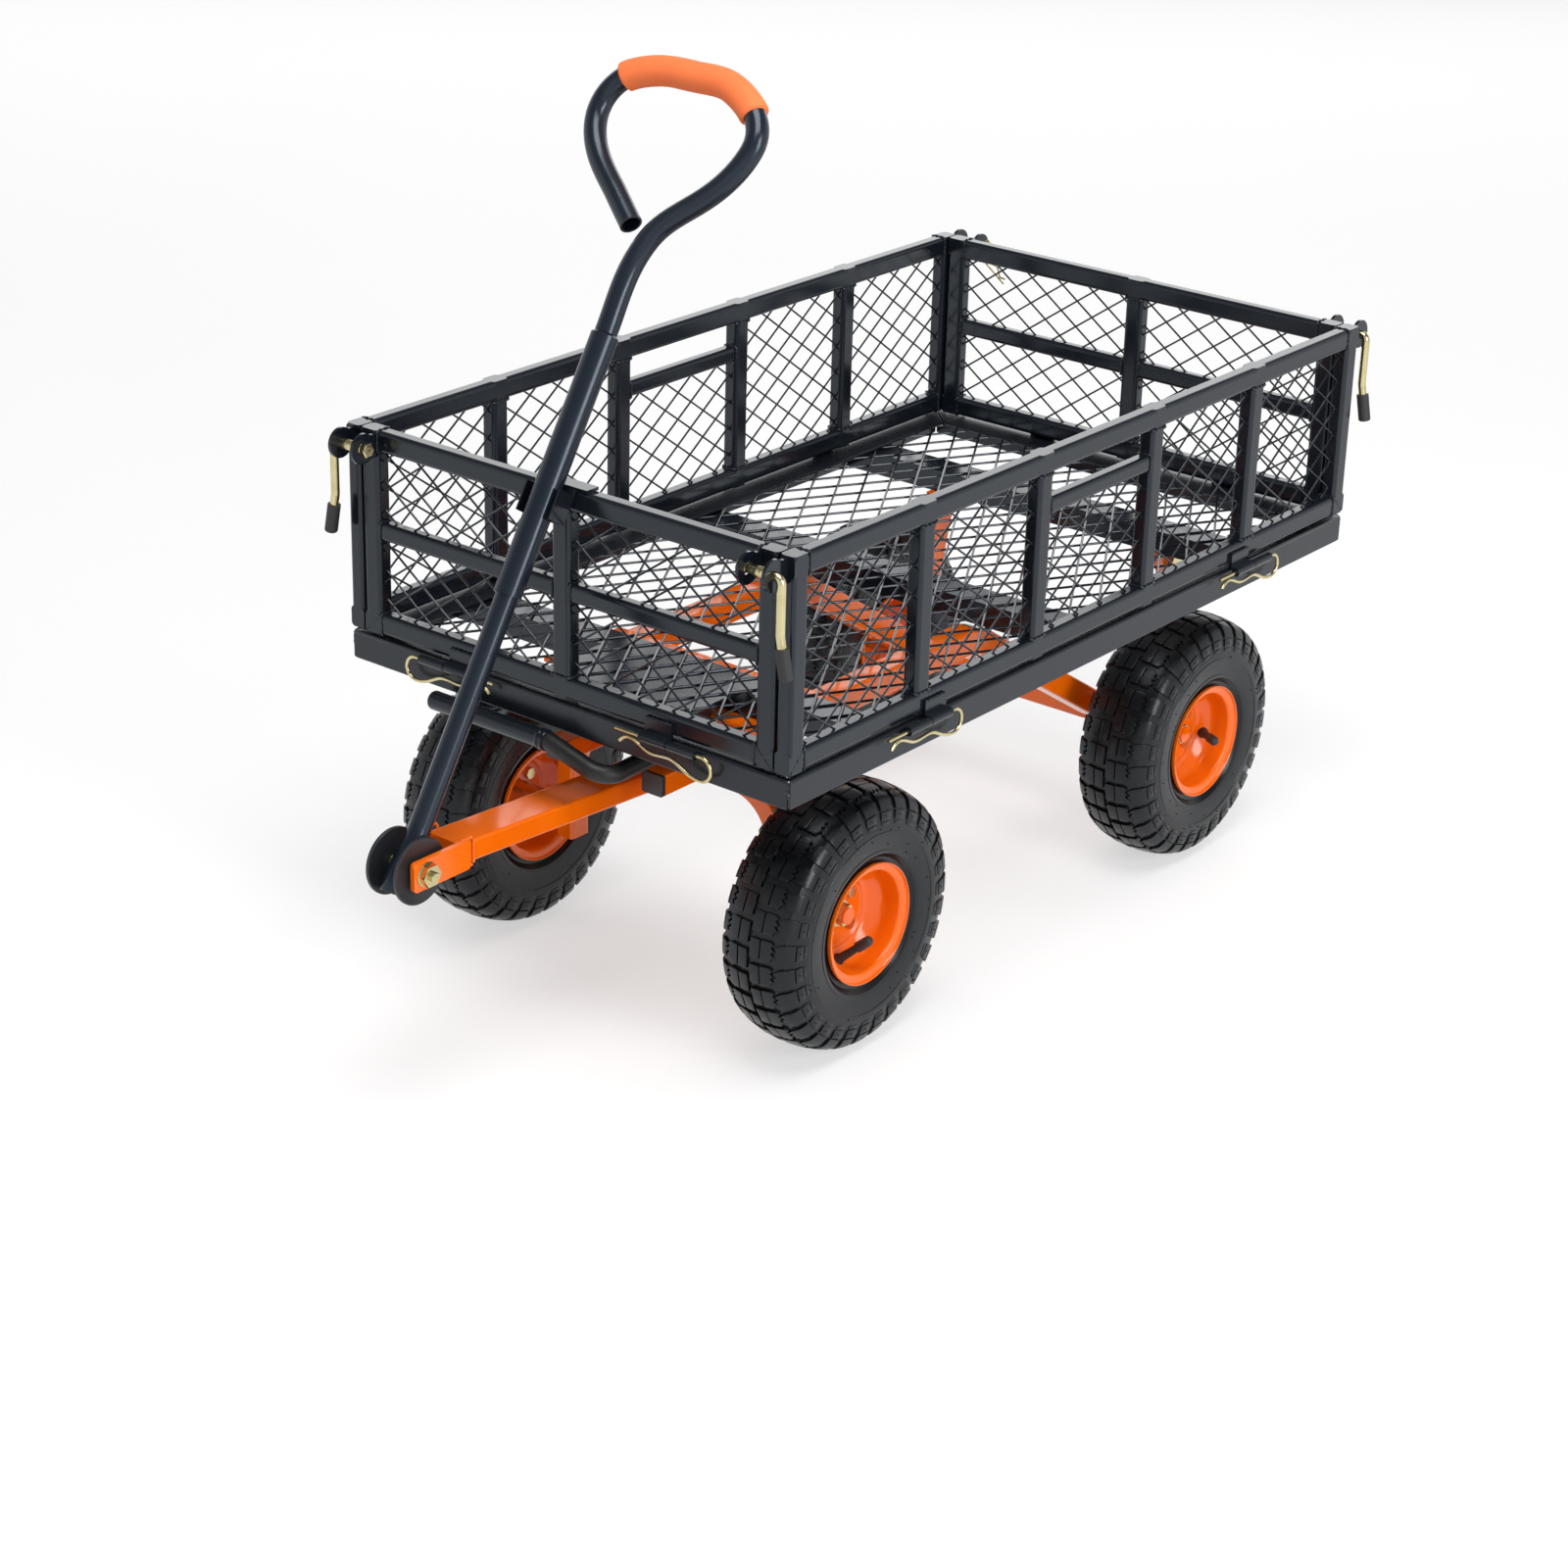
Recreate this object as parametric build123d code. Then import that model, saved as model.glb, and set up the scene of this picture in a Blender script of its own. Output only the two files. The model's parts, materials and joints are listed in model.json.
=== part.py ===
from build123d import *
import math
import os

# Four-wheel garden utility cart with folding mesh sides and a pull handle.
# Millimetres. X points to the front of the cart, Y to its left side, Z up, floor at Z 0.
# Every shape is drawn from the middle of the bed and moved once, on saving, to the shared origin.

os.makedirs("parts", exist_ok=True)

# Bed and perimeter beams
bed_length = 890.0
bed_width = 510.0
beam_top = 319.0
beam_height = 28.0
beam_wall = 3.0
beam_flange = 38.0
beam_edge_radius = 4.0
corner_slit = 1.0
member_width = 34.0
member_depth = 23.0
member_wall = 2.5
front_member_x = bed_length / 2 - 150.0
middle_member_x = -22.0
rear_member_x = 142.0 - bed_length / 2
deck_wire = 2.0
deck_pitch_x = 72.0
deck_pitch_y = 44.0
front_plate_half_width = 70.0
front_plate_thickness = 3.0

# Folding panels
panel_gap = 3.0
panel_top = 515.0
tube_height = 20.0
tube_depth = 16.0
tube_radius = 4.2
panel_side_clearance = 2.0
end_panel_half = bed_width / 2 - tube_depth - panel_side_clearance
stile_inner_x = 89.0
stile_outer_x = bed_length / 2 - 183.0
hand_hold_rail_top = 471.0
hand_hold_rail_height = 16.0
end_rail_top = 429.0
end_rail_height = 17.0
mesh_pitch_along = 38.8
mesh_pitch_up = 27.5
mesh_wire = 2.0
mesh_border = 1.4

# Hinges: knuckles on the beam and the panel, held by a wire clip
hinge_drop = 2.0
hinge_out = 8.0
knuckle_radius = 4.3
knuckle_length = 30.0
knuckle_gap = 1.0
side_hinge_x = stile_outer_x
end_hinge_y = bed_width / 2 - 125.0
strap_thickness = 2.6
strap_offset = 0.4
clip_wire = 3.2
clip_length = 95.0
clip_tip = 58.5
clip_loop_radius = 11.0
pivot_clearance = 0.05

# Corner latches
latch_out = 16.0
latch_z = 502.0
ear_radius = 14.0
ear_thickness = 3.0
inner_ear_y = end_panel_half - 18.0
outer_ear_y = bed_width / 2 - 9.0
latch_pin_radius = 4.0
inner_ear_hole_radius = 6.2
barrel_radius = 5.4
barrel_length = 16.0
latch_tip_y = inner_ear_y - 5.5
latch_rod_y = bed_width / 2 - 0.5
latch_kink_z = 452.0
latch_end_y = bed_width / 2 + 6.0
latch_end_z = 418.0
latch_bend_radius = 6.4
latch_sleeve_radius = 6.0
latch_sleeve_length = 27.0

# Wheels
tyre_radius = 124.0
tyre_half_width = 41.0
bead_radius = 50.2
bead_half_width = 33.6
bead_wall_top = 60.5
rim_seat_radius = 50.0
rim_lip_radius = 57.0
rim_lip_offset = 37.0
rim_sheet = 2.0
hub_radius = 13.0
hub_inner_end = 38.0
hub_outer_end = 4.0
rim_disc_radius = 31.0
rim_bolt_circle = 22.0
rim_bolt_count = 4
rim_bolt_radius = 3.0
rim_bolt_head = 4.0
rim_bolt_across = 10.0
track_half = bed_width / 2 - 61.0
front_axle_x = front_member_x
rear_axle_x = 192.0 - bed_length / 2
spindle_radius = 8.0
wheel_nut_length = 6.5
valve_radius = 4.2
valve_length = 42.0

# Front axle arch, steering head and tongue
arch_tube = 20.0
arch_depth = 24.0
arch_x = front_axle_x - 5.0
arch_top = 228.0
leg_outer_y = track_half - 58.5
leg_bottom = 100.0
arch_inner_radius = 39.5
rear_axle_half = track_half - 46.0
rail_y = 57.0
rail_width = 24.0
rail_height = 20.0
rail_front_x = front_axle_x + 89.0
rail_rear_x = front_axle_x - 73.0
cap_length = 4.0
base_plate_thickness = 6.0
base_plate_half_width = 72.0
base_plate_half_length = 60.0
drum_radius = 42.0
turntable_gap = 0.6
top_plate_thickness = 4.0
top_plate_half_width = bed_width / 2 - 130.0
top_plate_rear = 70.0
top_plate_front = 35.0
kingpin_radius = 10.0
kingpin_cap_radius = 12.0
kingpin_cap_height = 9.0
tongue_width = 40.0
tongue_height = 20.0
tongue_slope = 3.37
tongue_root_top = 221.7
tongue_front_x = bed_length / 2 + 147.0
fork_thickness = 4.6
fork_height = 27.0
fork_rear_x = bed_length / 2 + 139.0
fork_front_x = bed_length / 2 + 207.0
fork_side_gap = 0.2

# Pull handle. Loop points are (sideways, distance from the pivot along the handle).
pivot_x = bed_length / 2 + 192.0
pivot_z = 229.0
handle_lean = 31.55
hub_disc_radius = 30.0
hub_disc_thickness = 3.2
hub_disc_y = 17.6
hub_barrel_radius = 17.0
handle_bolt_radius = 6.0
lower_tube_radius = 10.0
lower_tube_end = 256.0
sleeve_start = 242.0
sleeve_radius = 12.3
sleeve_end = 477.0
loop_tube_radius = 10.0
loop_tube_bore = 8.2
loop_start = 478.0
loop_rise = [(0, loop_start), (0, 534), (13.6, 574), (37, 597.5), (61, 621.4), (77.6, 654), (68.5, 686)]
loop_hold = [(68.5, 686), (33, 706.2), (-6, 708.6), (-46, 707.4), (-80, 695.5)]
loop_return = [(-80, 695.5), (-94.8, 664), (-74, 622), (-51.5, 602.6), (-16, 573)]
loop_leave = (-0.66, 0.75)
loop_enter = (-0.75, -0.66)
loop_exit = (0.77, -0.64)
grip_radius = 13.2
grip_clearance = 0.05

# Handle saddle: a channel round the back of the handle, hung on the front top rail
saddle_half_width = 19.0
saddle_sheet = 1.5
saddle_gap = 0.4
saddle_low = 313.0
saddle_high = 340.0
saddle_reach = 7.0
saddle_tab_half = 30.0
saddle_tab_sheet = 3.0

# Release lever under the front of the bed
lever_x = bed_length / 2 + 16.0
lever_grip_z = 286.5
lever_grip_radius = 8.8
lever_grip_outer_y = -139.0
lever_grip_inner_y = -4.0
lever_bar_radius = 8.4
lever_low_y = 64.0
lever_low_z = 268.0
lever_pivot_x = front_member_x + 55.0
lever_pivot_z = 271.0
lever_pin_radius = 4.0
lever_boss_radius = 13.0
lever_boss_half = 14.0
lever_ear_gap = 0.6
lever_ear_thickness = 3.0
lever_ear_half_length = 12.0

# Rear axle, uprights and braces
axle_tube = 24.0
upright_y = bed_width / 2 - 117.0
upright_thickness = 5.0
brace_y = bed_width / 2 - 145.0
brace_tube = 25.0
brace_radius = 3.0
brace_front_x = front_axle_x - 55.0
brace_bend_x = -12.0
brace_bend_radius = 60.0

# Sizes that follow from the ones above
half_length = bed_length / 2
half_width = bed_width / 2
beam_bottom = beam_top - beam_height
flange_bottom = beam_top - beam_wall
deck_bottom = flange_bottom - deck_wire
panel_bottom = beam_top + panel_gap
axle_z = tyre_radius
hinge_z = beam_top - hinge_drop
side_hinge_y = half_width + hinge_out
end_hinge_x = half_length + hinge_out
latch_x = half_length + latch_out
barrel_outer_y = outer_ear_y - ear_thickness / 2
lean = math.radians(handle_lean)
knuckle_bore = clip_wire / 2 + pivot_clearance
front_reach = pivot_x + hub_disc_radius
rear_reach = latch_x + ear_radius
frame_shift = (rear_reach - front_reach) / 2


def save(name, *shapes):
    solids = [s for shape in shapes for s in shape.solids()]
    moved = [Pos(frame_shift, 0, 0) * s for s in solids]
    body = moved[0] if len(moved) == 1 else Compound(moved)
    export_step(body, f"parts/{name}.step")


def block(x0, x1, y0, y1, z0, z1):
    return Pos((x0 + x1) / 2, (y0 + y1) / 2, (z0 + z1) / 2) * Box(abs(x1 - x0), abs(y1 - y0), abs(z1 - z0))


def rod_x(x0, x1, y, z, radius):
    return Pos((x0 + x1) / 2, y, z) * Rot(0, 90, 0) * Cylinder(radius, abs(x1 - x0))


def rod_y(x, y0, y1, z, radius):
    return Pos(x, (y0 + y1) / 2, z) * Rot(90, 0, 0) * Cylinder(radius, abs(y1 - y0))


def rod_z(x, y, z0, z1, radius):
    return Pos(x, y, (z0 + z1) / 2) * Cylinder(radius, abs(z1 - z0))


def tube_x(x0, x1, y, z, wide, tall, radius=tube_radius):
    start = Plane(origin=(x0, y, z), x_dir=(0, 1, 0), z_dir=(1, 0, 0))
    return extrude(start * RectangleRounded(wide, tall, radius), x1 - x0)


def tube_y(x, y0, y1, z, wide, tall, radius=tube_radius):
    start = Plane(origin=(x, y0, z), x_dir=(1, 0, 0), z_dir=(0, 1, 0))
    return extrude(start * RectangleRounded(wide, tall, radius), y1 - y0)


def tube_z(x, y, z0, z1, along_x, along_y, radius=tube_radius):
    start = Plane(origin=(x, y, z0), x_dir=(1, 0, 0), z_dir=(0, 0, 1))
    return extrude(start * RectangleRounded(along_x, along_y, radius), z1 - z0)


def hex_y(x, y0, y1, z, across):
    start = Plane(origin=(x, y0, z), x_dir=(1, 0, 0), z_dir=(0, 1, 0))
    return extrude(start * RegularPolygon(across / 2, 6, major_radius=False), y1 - y0)


def hex_z(x, y, z0, z1, across):
    return extrude(Pos(x, y, z0) * RegularPolygon(across / 2, 6, major_radius=False), z1 - z0)


def flip_y(shape):
    return mirror(shape, about=Plane.XZ)


def flip_x(shape):
    return mirror(shape, about=Plane.YZ)


def pipe(path, radius, bore=0.0):
    line = Wire(path.edges())
    start = Plane(origin=line @ 0, z_dir=line % 0)
    ring = Circle(radius)
    if bore > 0:
        ring = ring - Circle(bore)
    return sweep(start * ring, path=line)


# Diamond net: one face with a hole for each gap, the outer gaps trimmed to the border
def trim(points, axis, limit, below):
    kept = []
    for i, a in enumerate(points):
        b = points[(i + 1) % len(points)]
        a_in = a[axis] <= limit if below else a[axis] >= limit
        b_in = b[axis] <= limit if below else b[axis] >= limit
        if a_in:
            kept.append(a)
        if a_in != b_in:
            t = (limit - a[axis]) / (b[axis] - a[axis])
            kept.append((a[0] + t * (b[0] - a[0]), a[1] + t * (b[1] - a[1])))
    return kept


def area(points):
    total = 0.0
    for i, a in enumerate(points):
        b = points[(i + 1) % len(points)]
        total += a[0] * b[1] - b[0] * a[1]
    return abs(total) / 2


def net(width, height, pitch_u, pitch_v, wire, border, smallest):
    reach = pitch_u * pitch_v / math.hypot(pitch_u, pitch_v) / 2
    shrink = (reach - wire / 2) / reach
    half_u = pitch_u / 2 * shrink
    half_v = pitch_v / 2 * shrink
    limit_u = width / 2 - border
    limit_v = height / 2 - border
    steps_u = int(width / pitch_u) + 2
    steps_v = int(height / pitch_v) + 2
    holes = []
    for i in range(-2 * steps_u, 2 * steps_u + 1):
        for j in range(-2 * steps_v, 2 * steps_v + 1):
            if (i + j) % 2:
                continue
            u = i * pitch_u / 2
            v = j * pitch_v / 2
            gap = [(u + half_u, v), (u, v + half_v), (u - half_u, v), (u, v - half_v)]
            gap = trim(gap, 0, limit_u, True)
            gap = trim(gap, 0, -limit_u, False) if gap else gap
            gap = trim(gap, 1, limit_v, True) if gap else gap
            gap = trim(gap, 1, -limit_v, False) if gap else gap
            if len(gap) < 3 or area(gap) < smallest:
                continue
            holes.append(Wire.make_polygon([(a, b, 0) for a, b in gap], close=True))
    w, h = width / 2, height / 2
    edge = Wire.make_polygon([(-w, -h, 0), (w, -h, 0), (w, h, 0), (-w, h, 0)], close=True)
    sheet = extrude(Face(edge, holes), wire)
    print("net", round(width), "by", round(height), "gaps", len(holes))
    return sheet


def net_along_x(x0, x1, y, z0, z1):
    sheet = net(x1 - x0, z1 - z0, mesh_pitch_along, mesh_pitch_up, mesh_wire, mesh_border, 14.0)
    face = Plane(origin=((x0 + x1) / 2, y + mesh_wire / 2, (z0 + z1) / 2), x_dir=(1, 0, 0), z_dir=(0, -1, 0))
    return face.location * sheet


def net_along_y(x, y0, y1, z0, z1):
    sheet = net(y1 - y0, z1 - z0, mesh_pitch_along, mesh_pitch_up, mesh_wire, mesh_border, 14.0)
    face = Plane(origin=(x - mesh_wire / 2, (y0 + y1) / 2, (z0 + z1) / 2), x_dir=(0, 1, 0), z_dir=(1, 0, 0))
    return face.location * sheet


# Perimeter beams: folded angle, mitred at the corners with a narrow slit
def angle_beam(length, out):
    web = [(out - beam_wall, beam_bottom), (out, beam_bottom), (out, beam_top), (out - beam_flange, beam_top)]
    web += [(out - beam_flange, flange_bottom), (out - beam_wall, flange_bottom)]
    start = Plane(origin=(-length / 2, 0, 0), x_dir=(0, 1, 0), z_dir=(1, 0, 0))
    beam = extrude(start * make_face(Polyline(*web, close=True)), length)
    rounded = beam.edges().filter_by(Axis.X).sort_by(lambda e: (e @ 0.5).Y + (e @ 0.5).Z)[-1]
    beam = fillet(rounded, beam_edge_radius)
    for side in (1, -1):
        corner = Pos(side * (length / 2 - corner_slit), out, 0) * Rot(0, 0, -side * 45)
        beam = beam - corner * Pos(side * 200, 0, beam_bottom) * Box(400, 400, 200)
    return beam


side_beam = angle_beam(bed_length, half_width)
end_beam = Rot(0, 0, -90) * angle_beam(bed_width, half_length)
save("side_beams", side_beam, flip_y(side_beam))
save("end_beams", end_beam, flip_x(end_beam))


# Cross members: channels open below, between the side beams
def cross_member(x):
    half = half_width - beam_wall - 0.2
    outer = block(x - member_width / 2, x + member_width / 2, -half, half, deck_bottom - member_depth, deck_bottom)
    inner_half = member_width / 2 - member_wall
    slot = block(x - inner_half, x + inner_half, -half - 1, half + 1, 0, deck_bottom - member_wall)
    return outer - slot


save("cross_members", *[cross_member(x) for x in (front_member_x, middle_member_x, rear_member_x)])

# Deck net, welded under the beam flanges and over the cross members
deck_half_x = half_length - beam_wall - 0.5
deck_half_y = half_width - beam_wall - 0.5
deck = net(2 * deck_half_x, 2 * deck_half_y, deck_pitch_x, deck_pitch_y, deck_wire, 3.0, 60.0)
save("deck_mesh", Pos(0, 0, deck_bottom) * deck)

# Plate under the front of the deck, with the ears that carry the release lever
plate_rear = front_member_x + member_width / 2
plate_top = deck_bottom
plate_low = plate_top - front_plate_thickness
plate = block(plate_rear, half_length - beam_wall, -front_plate_half_width, front_plate_half_width, plate_low, plate_top)
ear_inner = lever_boss_half + lever_ear_gap
for side in (1, -1):
    y0 = lever_low_y + side * ear_inner
    y1 = lever_low_y + side * (ear_inner + lever_ear_thickness)
    ear = block(lever_pivot_x - lever_ear_half_length, lever_pivot_x + lever_ear_half_length, y0, y1, lever_pivot_z, plate_low)
    plate = plate + ear + rod_y(lever_pivot_x, y0, y1, lever_pivot_z, lever_ear_half_length)
wing = block(plate_rear, lever_pivot_x + 30, front_plate_half_width - 1, lever_low_y + 30, plate_low, plate_top)
pin_y0 = lever_low_y - ear_inner - lever_ear_thickness
pin_y1 = lever_low_y + ear_inner + lever_ear_thickness
plate = plate + wing + rod_y(lever_pivot_x, pin_y0, pin_y1, lever_pivot_z, lever_pin_radius)
save("front_deck_plate", plate)


# Hinge pieces. A hinge is drawn along X on the left side and copied to the others.
# The strap runs from the panel rail down to its own knuckle; the other knuckle sits on the beam.
def strap_knuckle(x0):
    x1 = x0 + knuckle_length
    inner = half_width + strap_offset
    web_top = hinge_z + knuckle_radius
    plate = block(x0, x1, inner, inner + strap_thickness, web_top - strap_thickness, panel_bottom + 11)
    pad = block(x0, x1, half_width - 2, inner + strap_thickness, panel_bottom + 3, panel_bottom + 11)
    web = block(x0, x1, inner, side_hinge_y, web_top - strap_thickness, web_top)
    ring = rod_x(x0, x1, side_hinge_y, hinge_z, knuckle_radius)
    hole = rod_x(x0 - 1, x1 + 1, side_hinge_y, hinge_z, knuckle_bore)
    return plate + pad + web + ring - hole


def beam_knuckle(x0):
    x1 = x0 + knuckle_length
    foot_low = hinge_z - knuckle_radius
    foot = block(x0, x1, half_width, side_hinge_y, foot_low, foot_low + strap_thickness)
    ring = rod_x(x0, x1, side_hinge_y, hinge_z, knuckle_radius)
    hole = rod_x(x0 - 1, x1 + 1, side_hinge_y, hinge_z, knuckle_bore)
    return foot + ring - hole


# Wire clip: straight leg through both knuckles, round loop, waved leg below
def hinge_clip(x_open, direction):
    def at(u, v):
        return (x_open + direction * u, side_hinge_y, hinge_z - v)
    turn = clip_length
    loop = 2 * clip_loop_radius
    leg = Line(at(0, 0), at(turn, 0))
    bend = ThreePointArc(at(turn, 0), at(turn + clip_loop_radius, clip_loop_radius), at(turn, loop))
    wave = Spline(at(turn, loop), at(0.64 * turn, 11.2), at(0.38 * turn, 11.6), at(0.16 * turn, 4.6), at(0.05 * turn, 10.2),
                  tangents=[(-direction, 0, 0), (-direction, 0, -1.1)])
    return pipe(leg + bend + wave, clip_wire / 2)


# Each hinge: the panel's knuckle towards the middle of the panel, the beam's knuckle beside it, and the clip's loop at one end
def hinge_set(x, middle, loop):
    panel_x0 = x + knuckle_gap / 2 if middle > 0 else x - knuckle_gap / 2 - knuckle_length
    beam_x0 = x - knuckle_gap / 2 - knuckle_length if middle > 0 else x + knuckle_gap / 2
    clip = hinge_clip(x - loop * clip_tip, loop)
    return strap_knuckle(panel_x0), beam_knuckle(beam_x0), clip


side_hinges = [hinge_set(side_hinge_x, -1, -1), hinge_set(-side_hinge_x, 1, -1)]


# The same hinge turned onto the front beam
def to_front(shape):
    return Pos(half_length - half_width, 0, 0) * Rot(0, 0, -90) * shape


# Turning by minus 90 sends X to minus Y, so the hinge is drawn at minus its Y position
front_hinges = [hinge_set(-end_hinge_y, 1, -1), hinge_set(end_hinge_y, -1, 1)]
front_hinges = [[to_front(s) for s in pieces] for pieces in front_hinges]

beam_knuckles = []
clips = []
for strap, knuckle, clip in side_hinges:
    beam_knuckles += [knuckle, flip_y(knuckle)]
    clips += [clip, flip_y(clip)]
for strap, knuckle, clip in front_hinges:
    beam_knuckles += [knuckle, flip_x(knuckle)]
    clips += [clip, flip_x(clip)]
save("hinge_knuckles", *beam_knuckles)
save("hinge_clips", *clips)


# Latch ears: a round tab standing out of the end of the cart
def latch_ear(y, post_y0, post_y1, hole):
    tab = rod_y(latch_x, y - ear_thickness / 2, y + ear_thickness / 2, latch_z, ear_radius)
    root = block(half_length - 2, latch_x, y - ear_thickness / 2, y + ear_thickness / 2, latch_z - 11, latch_z + 11)
    cut = rod_y(latch_x, y - 5, y + 5, latch_z, hole)
    return tab + root - cut


# End panels, upright between the side panels
front_x = half_length - tube_depth / 2
rail_low = panel_bottom + tube_height / 2
rail_high = panel_top - tube_height / 2
post_y = end_panel_half - tube_height / 2
front_frame = tube_y(front_x, -end_panel_half, end_panel_half, rail_low, tube_depth, tube_height)
front_frame = front_frame + tube_y(front_x, -end_panel_half, end_panel_half, rail_high, tube_depth, tube_height)
for y in (-post_y, 0, post_y):
    front_frame = front_frame + tube_z(front_x, y, panel_bottom, panel_top, tube_depth, tube_height)
end_rail_z = end_rail_top - end_rail_height / 2
front_frame = front_frame + tube_y(front_x, -post_y, post_y, end_rail_z, tube_depth - 2, end_rail_height)
for strap, knuckle, clip in front_hinges:
    front_frame = front_frame + strap
inner_ear = latch_ear(inner_ear_y, post_y, end_panel_half, inner_ear_hole_radius)
front_frame = front_frame + inner_ear + flip_y(inner_ear)
save("front_panel_frame", front_frame)
save("rear_panel_frame", flip_x(front_frame))

bay_inner = tube_height / 2
bay_outer = end_panel_half - tube_height
opening_low = panel_bottom + tube_height
opening_high = panel_top - tube_height
end_nets = []
for z0, z1 in ((opening_low, end_rail_top - end_rail_height), (end_rail_top, opening_high)):
    bay = net_along_y(front_x, bay_inner, bay_outer, z0, z1)
    end_nets += [bay, flip_y(bay)]
save("front_panel_mesh", *end_nets)
save("rear_panel_mesh", *[flip_x(n) for n in end_nets])

# Side panels, drawn on the left and mirrored to the right
side_y = half_width - tube_depth / 2
post_x = half_length - tube_height / 2
left_frame = tube_x(-half_length, half_length, side_y, rail_low, tube_depth, tube_height)
left_frame = left_frame + tube_x(-half_length, half_length, side_y, rail_high, tube_depth, tube_height)
for x in (-post_x, -stile_outer_x, -stile_inner_x, stile_inner_x, stile_outer_x, post_x):
    left_frame = left_frame + tube_z(x, side_y, panel_bottom, panel_top, tube_height, tube_depth)
hold_z = hand_hold_rail_top - hand_hold_rail_height / 2
left_frame = left_frame + tube_x(-stile_inner_x, stile_inner_x, side_y, hold_z, tube_depth - 2, hand_hold_rail_height)
for strap, knuckle, clip in side_hinges:
    left_frame = left_frame + strap
outer_ear = latch_ear(outer_ear_y, side_y, half_width, latch_pin_radius + pivot_clearance)
left_frame = left_frame + outer_ear + flip_x(outer_ear)
save("left_panel_frame", left_frame)
save("right_panel_frame", flip_y(left_frame))

stile_half = tube_height / 2
bays = [(stile_outer_x + stile_half, half_length - tube_height), (stile_inner_x + stile_half, stile_outer_x - stile_half)]
side_nets = []
for x0, x1 in bays:
    bay = net_along_x(x0, x1, side_y, opening_low, opening_high)
    side_nets += [bay, flip_x(bay)]
middle_high = hand_hold_rail_top - hand_hold_rail_height
side_nets.append(net_along_x(-stile_inner_x + stile_half, stile_inner_x - stile_half, side_y, opening_low, middle_high))
save("left_panel_mesh", *side_nets)
save("right_panel_mesh", *[flip_y(n) for n in side_nets])

# Latch barrels welded to the outer ears, and the bent pins that turn in them
barrel = rod_y(latch_x, barrel_outer_y - barrel_length, barrel_outer_y, latch_z, barrel_radius)
barrel = barrel - rod_y(latch_x, 0, 300, latch_z, latch_pin_radius + pivot_clearance)
save("left_latch_barrels", barrel, flip_x(barrel))
save("right_latch_barrels", flip_y(barrel), flip_y(flip_x(barrel)))

latch_line = FilletPolyline(
    (latch_x, latch_tip_y, latch_z),
    (latch_x, latch_rod_y, latch_z),
    (latch_x, latch_rod_y, latch_kink_z),
    (latch_x, latch_end_y, latch_end_z),
    radius=latch_bend_radius,
)
latch_pin = pipe(latch_line, latch_pin_radius)
fall = Vector(0, latch_end_y - latch_rod_y, latch_end_z - latch_kink_z).normalized()
sleeve_end_point = Vector(latch_x, latch_end_y, latch_end_z) + fall * 3
sleeve_top = sleeve_end_point - fall * latch_sleeve_length
latch_tip = extrude(Plane(origin=sleeve_top, z_dir=fall) * Circle(latch_sleeve_radius), latch_sleeve_length)
latch_tip = fillet(latch_tip.edges().sort_by(Axis.Z)[0], 2.0) - latch_pin
for end, turn in (("front", lambda s: s), ("rear", flip_x)):
    save(f"{end}_left_latch_pin", turn(latch_pin))
    save(f"{end}_right_latch_pin", flip_y(turn(latch_pin)))
    save(f"{end}_left_latch_tip", turn(latch_tip))
    save(f"{end}_right_latch_tip", flip_y(turn(latch_tip)))

# Handle saddle, drawn upright round the handle and leaned with it, with a tab over the front top rail
leaned = Pos(pivot_x, 0, pivot_z) * Rot(0, -handle_lean, 0)
saddle_back = -sleeve_radius - saddle_gap
channel = block(saddle_back - saddle_sheet, saddle_back, -saddle_half_width, saddle_half_width, saddle_low, saddle_high + 6)
for side in (1, -1):
    y0 = side * (saddle_half_width - saddle_sheet)
    y1 = side * saddle_half_width
    channel = channel + block(saddle_back - saddle_sheet, saddle_reach, y0, y1, saddle_low, saddle_high)
tab = block(half_length - tube_depth, half_length - 1, -saddle_half_width, saddle_tab_half, panel_top, panel_top + saddle_tab_sheet)
save("handle_saddle", leaned * channel - front_frame + tab)


# Wheels, revolved about Y at the origin, outer face towards plus Y
def tyre_solid():
    outer = [(bead_wall_top, bead_half_width), (66, 38.2), (80, 40.6), (95, tyre_half_width), (108, 39.2), (117.5, 33.0), (122.6, 17)]
    inner = [(bead_wall_top, 26.0), (70, 30.5), (85, 33.0), (98, 32.5), (108, 27.0), (113, 15)]
    outer_line = outer + [(tyre_radius, 0)] + [(r, -t) for r, t in reversed(outer)]
    inner_line = inner + [(114.2, 0)] + [(r, -t) for r, t in reversed(inner)]
    edge = Spline(*outer_line)
    edge += Polyline((bead_wall_top, -bead_half_width), (bead_radius, -bead_half_width), (bead_radius, -26.0), (bead_wall_top, -26.0))
    edge += Spline(*inner_line)
    edge += Polyline((bead_wall_top, 26.0), (bead_radius, 26.0), (bead_radius, bead_half_width), (bead_wall_top, bead_half_width))
    return revolve(make_face(edge.edges()), Axis.Y)


# Pressed half rim: flat disc at the middle of the wheel, cone, barrel with the bead seat, and lip
rim_bolt_angles = [math.radians(45 + 360 * i / rim_bolt_count) for i in range(rim_bolt_count)]
cone_low = (rim_disc_radius + 3.6, 3.4)
cone_high = (46.4, 14.2)


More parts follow.
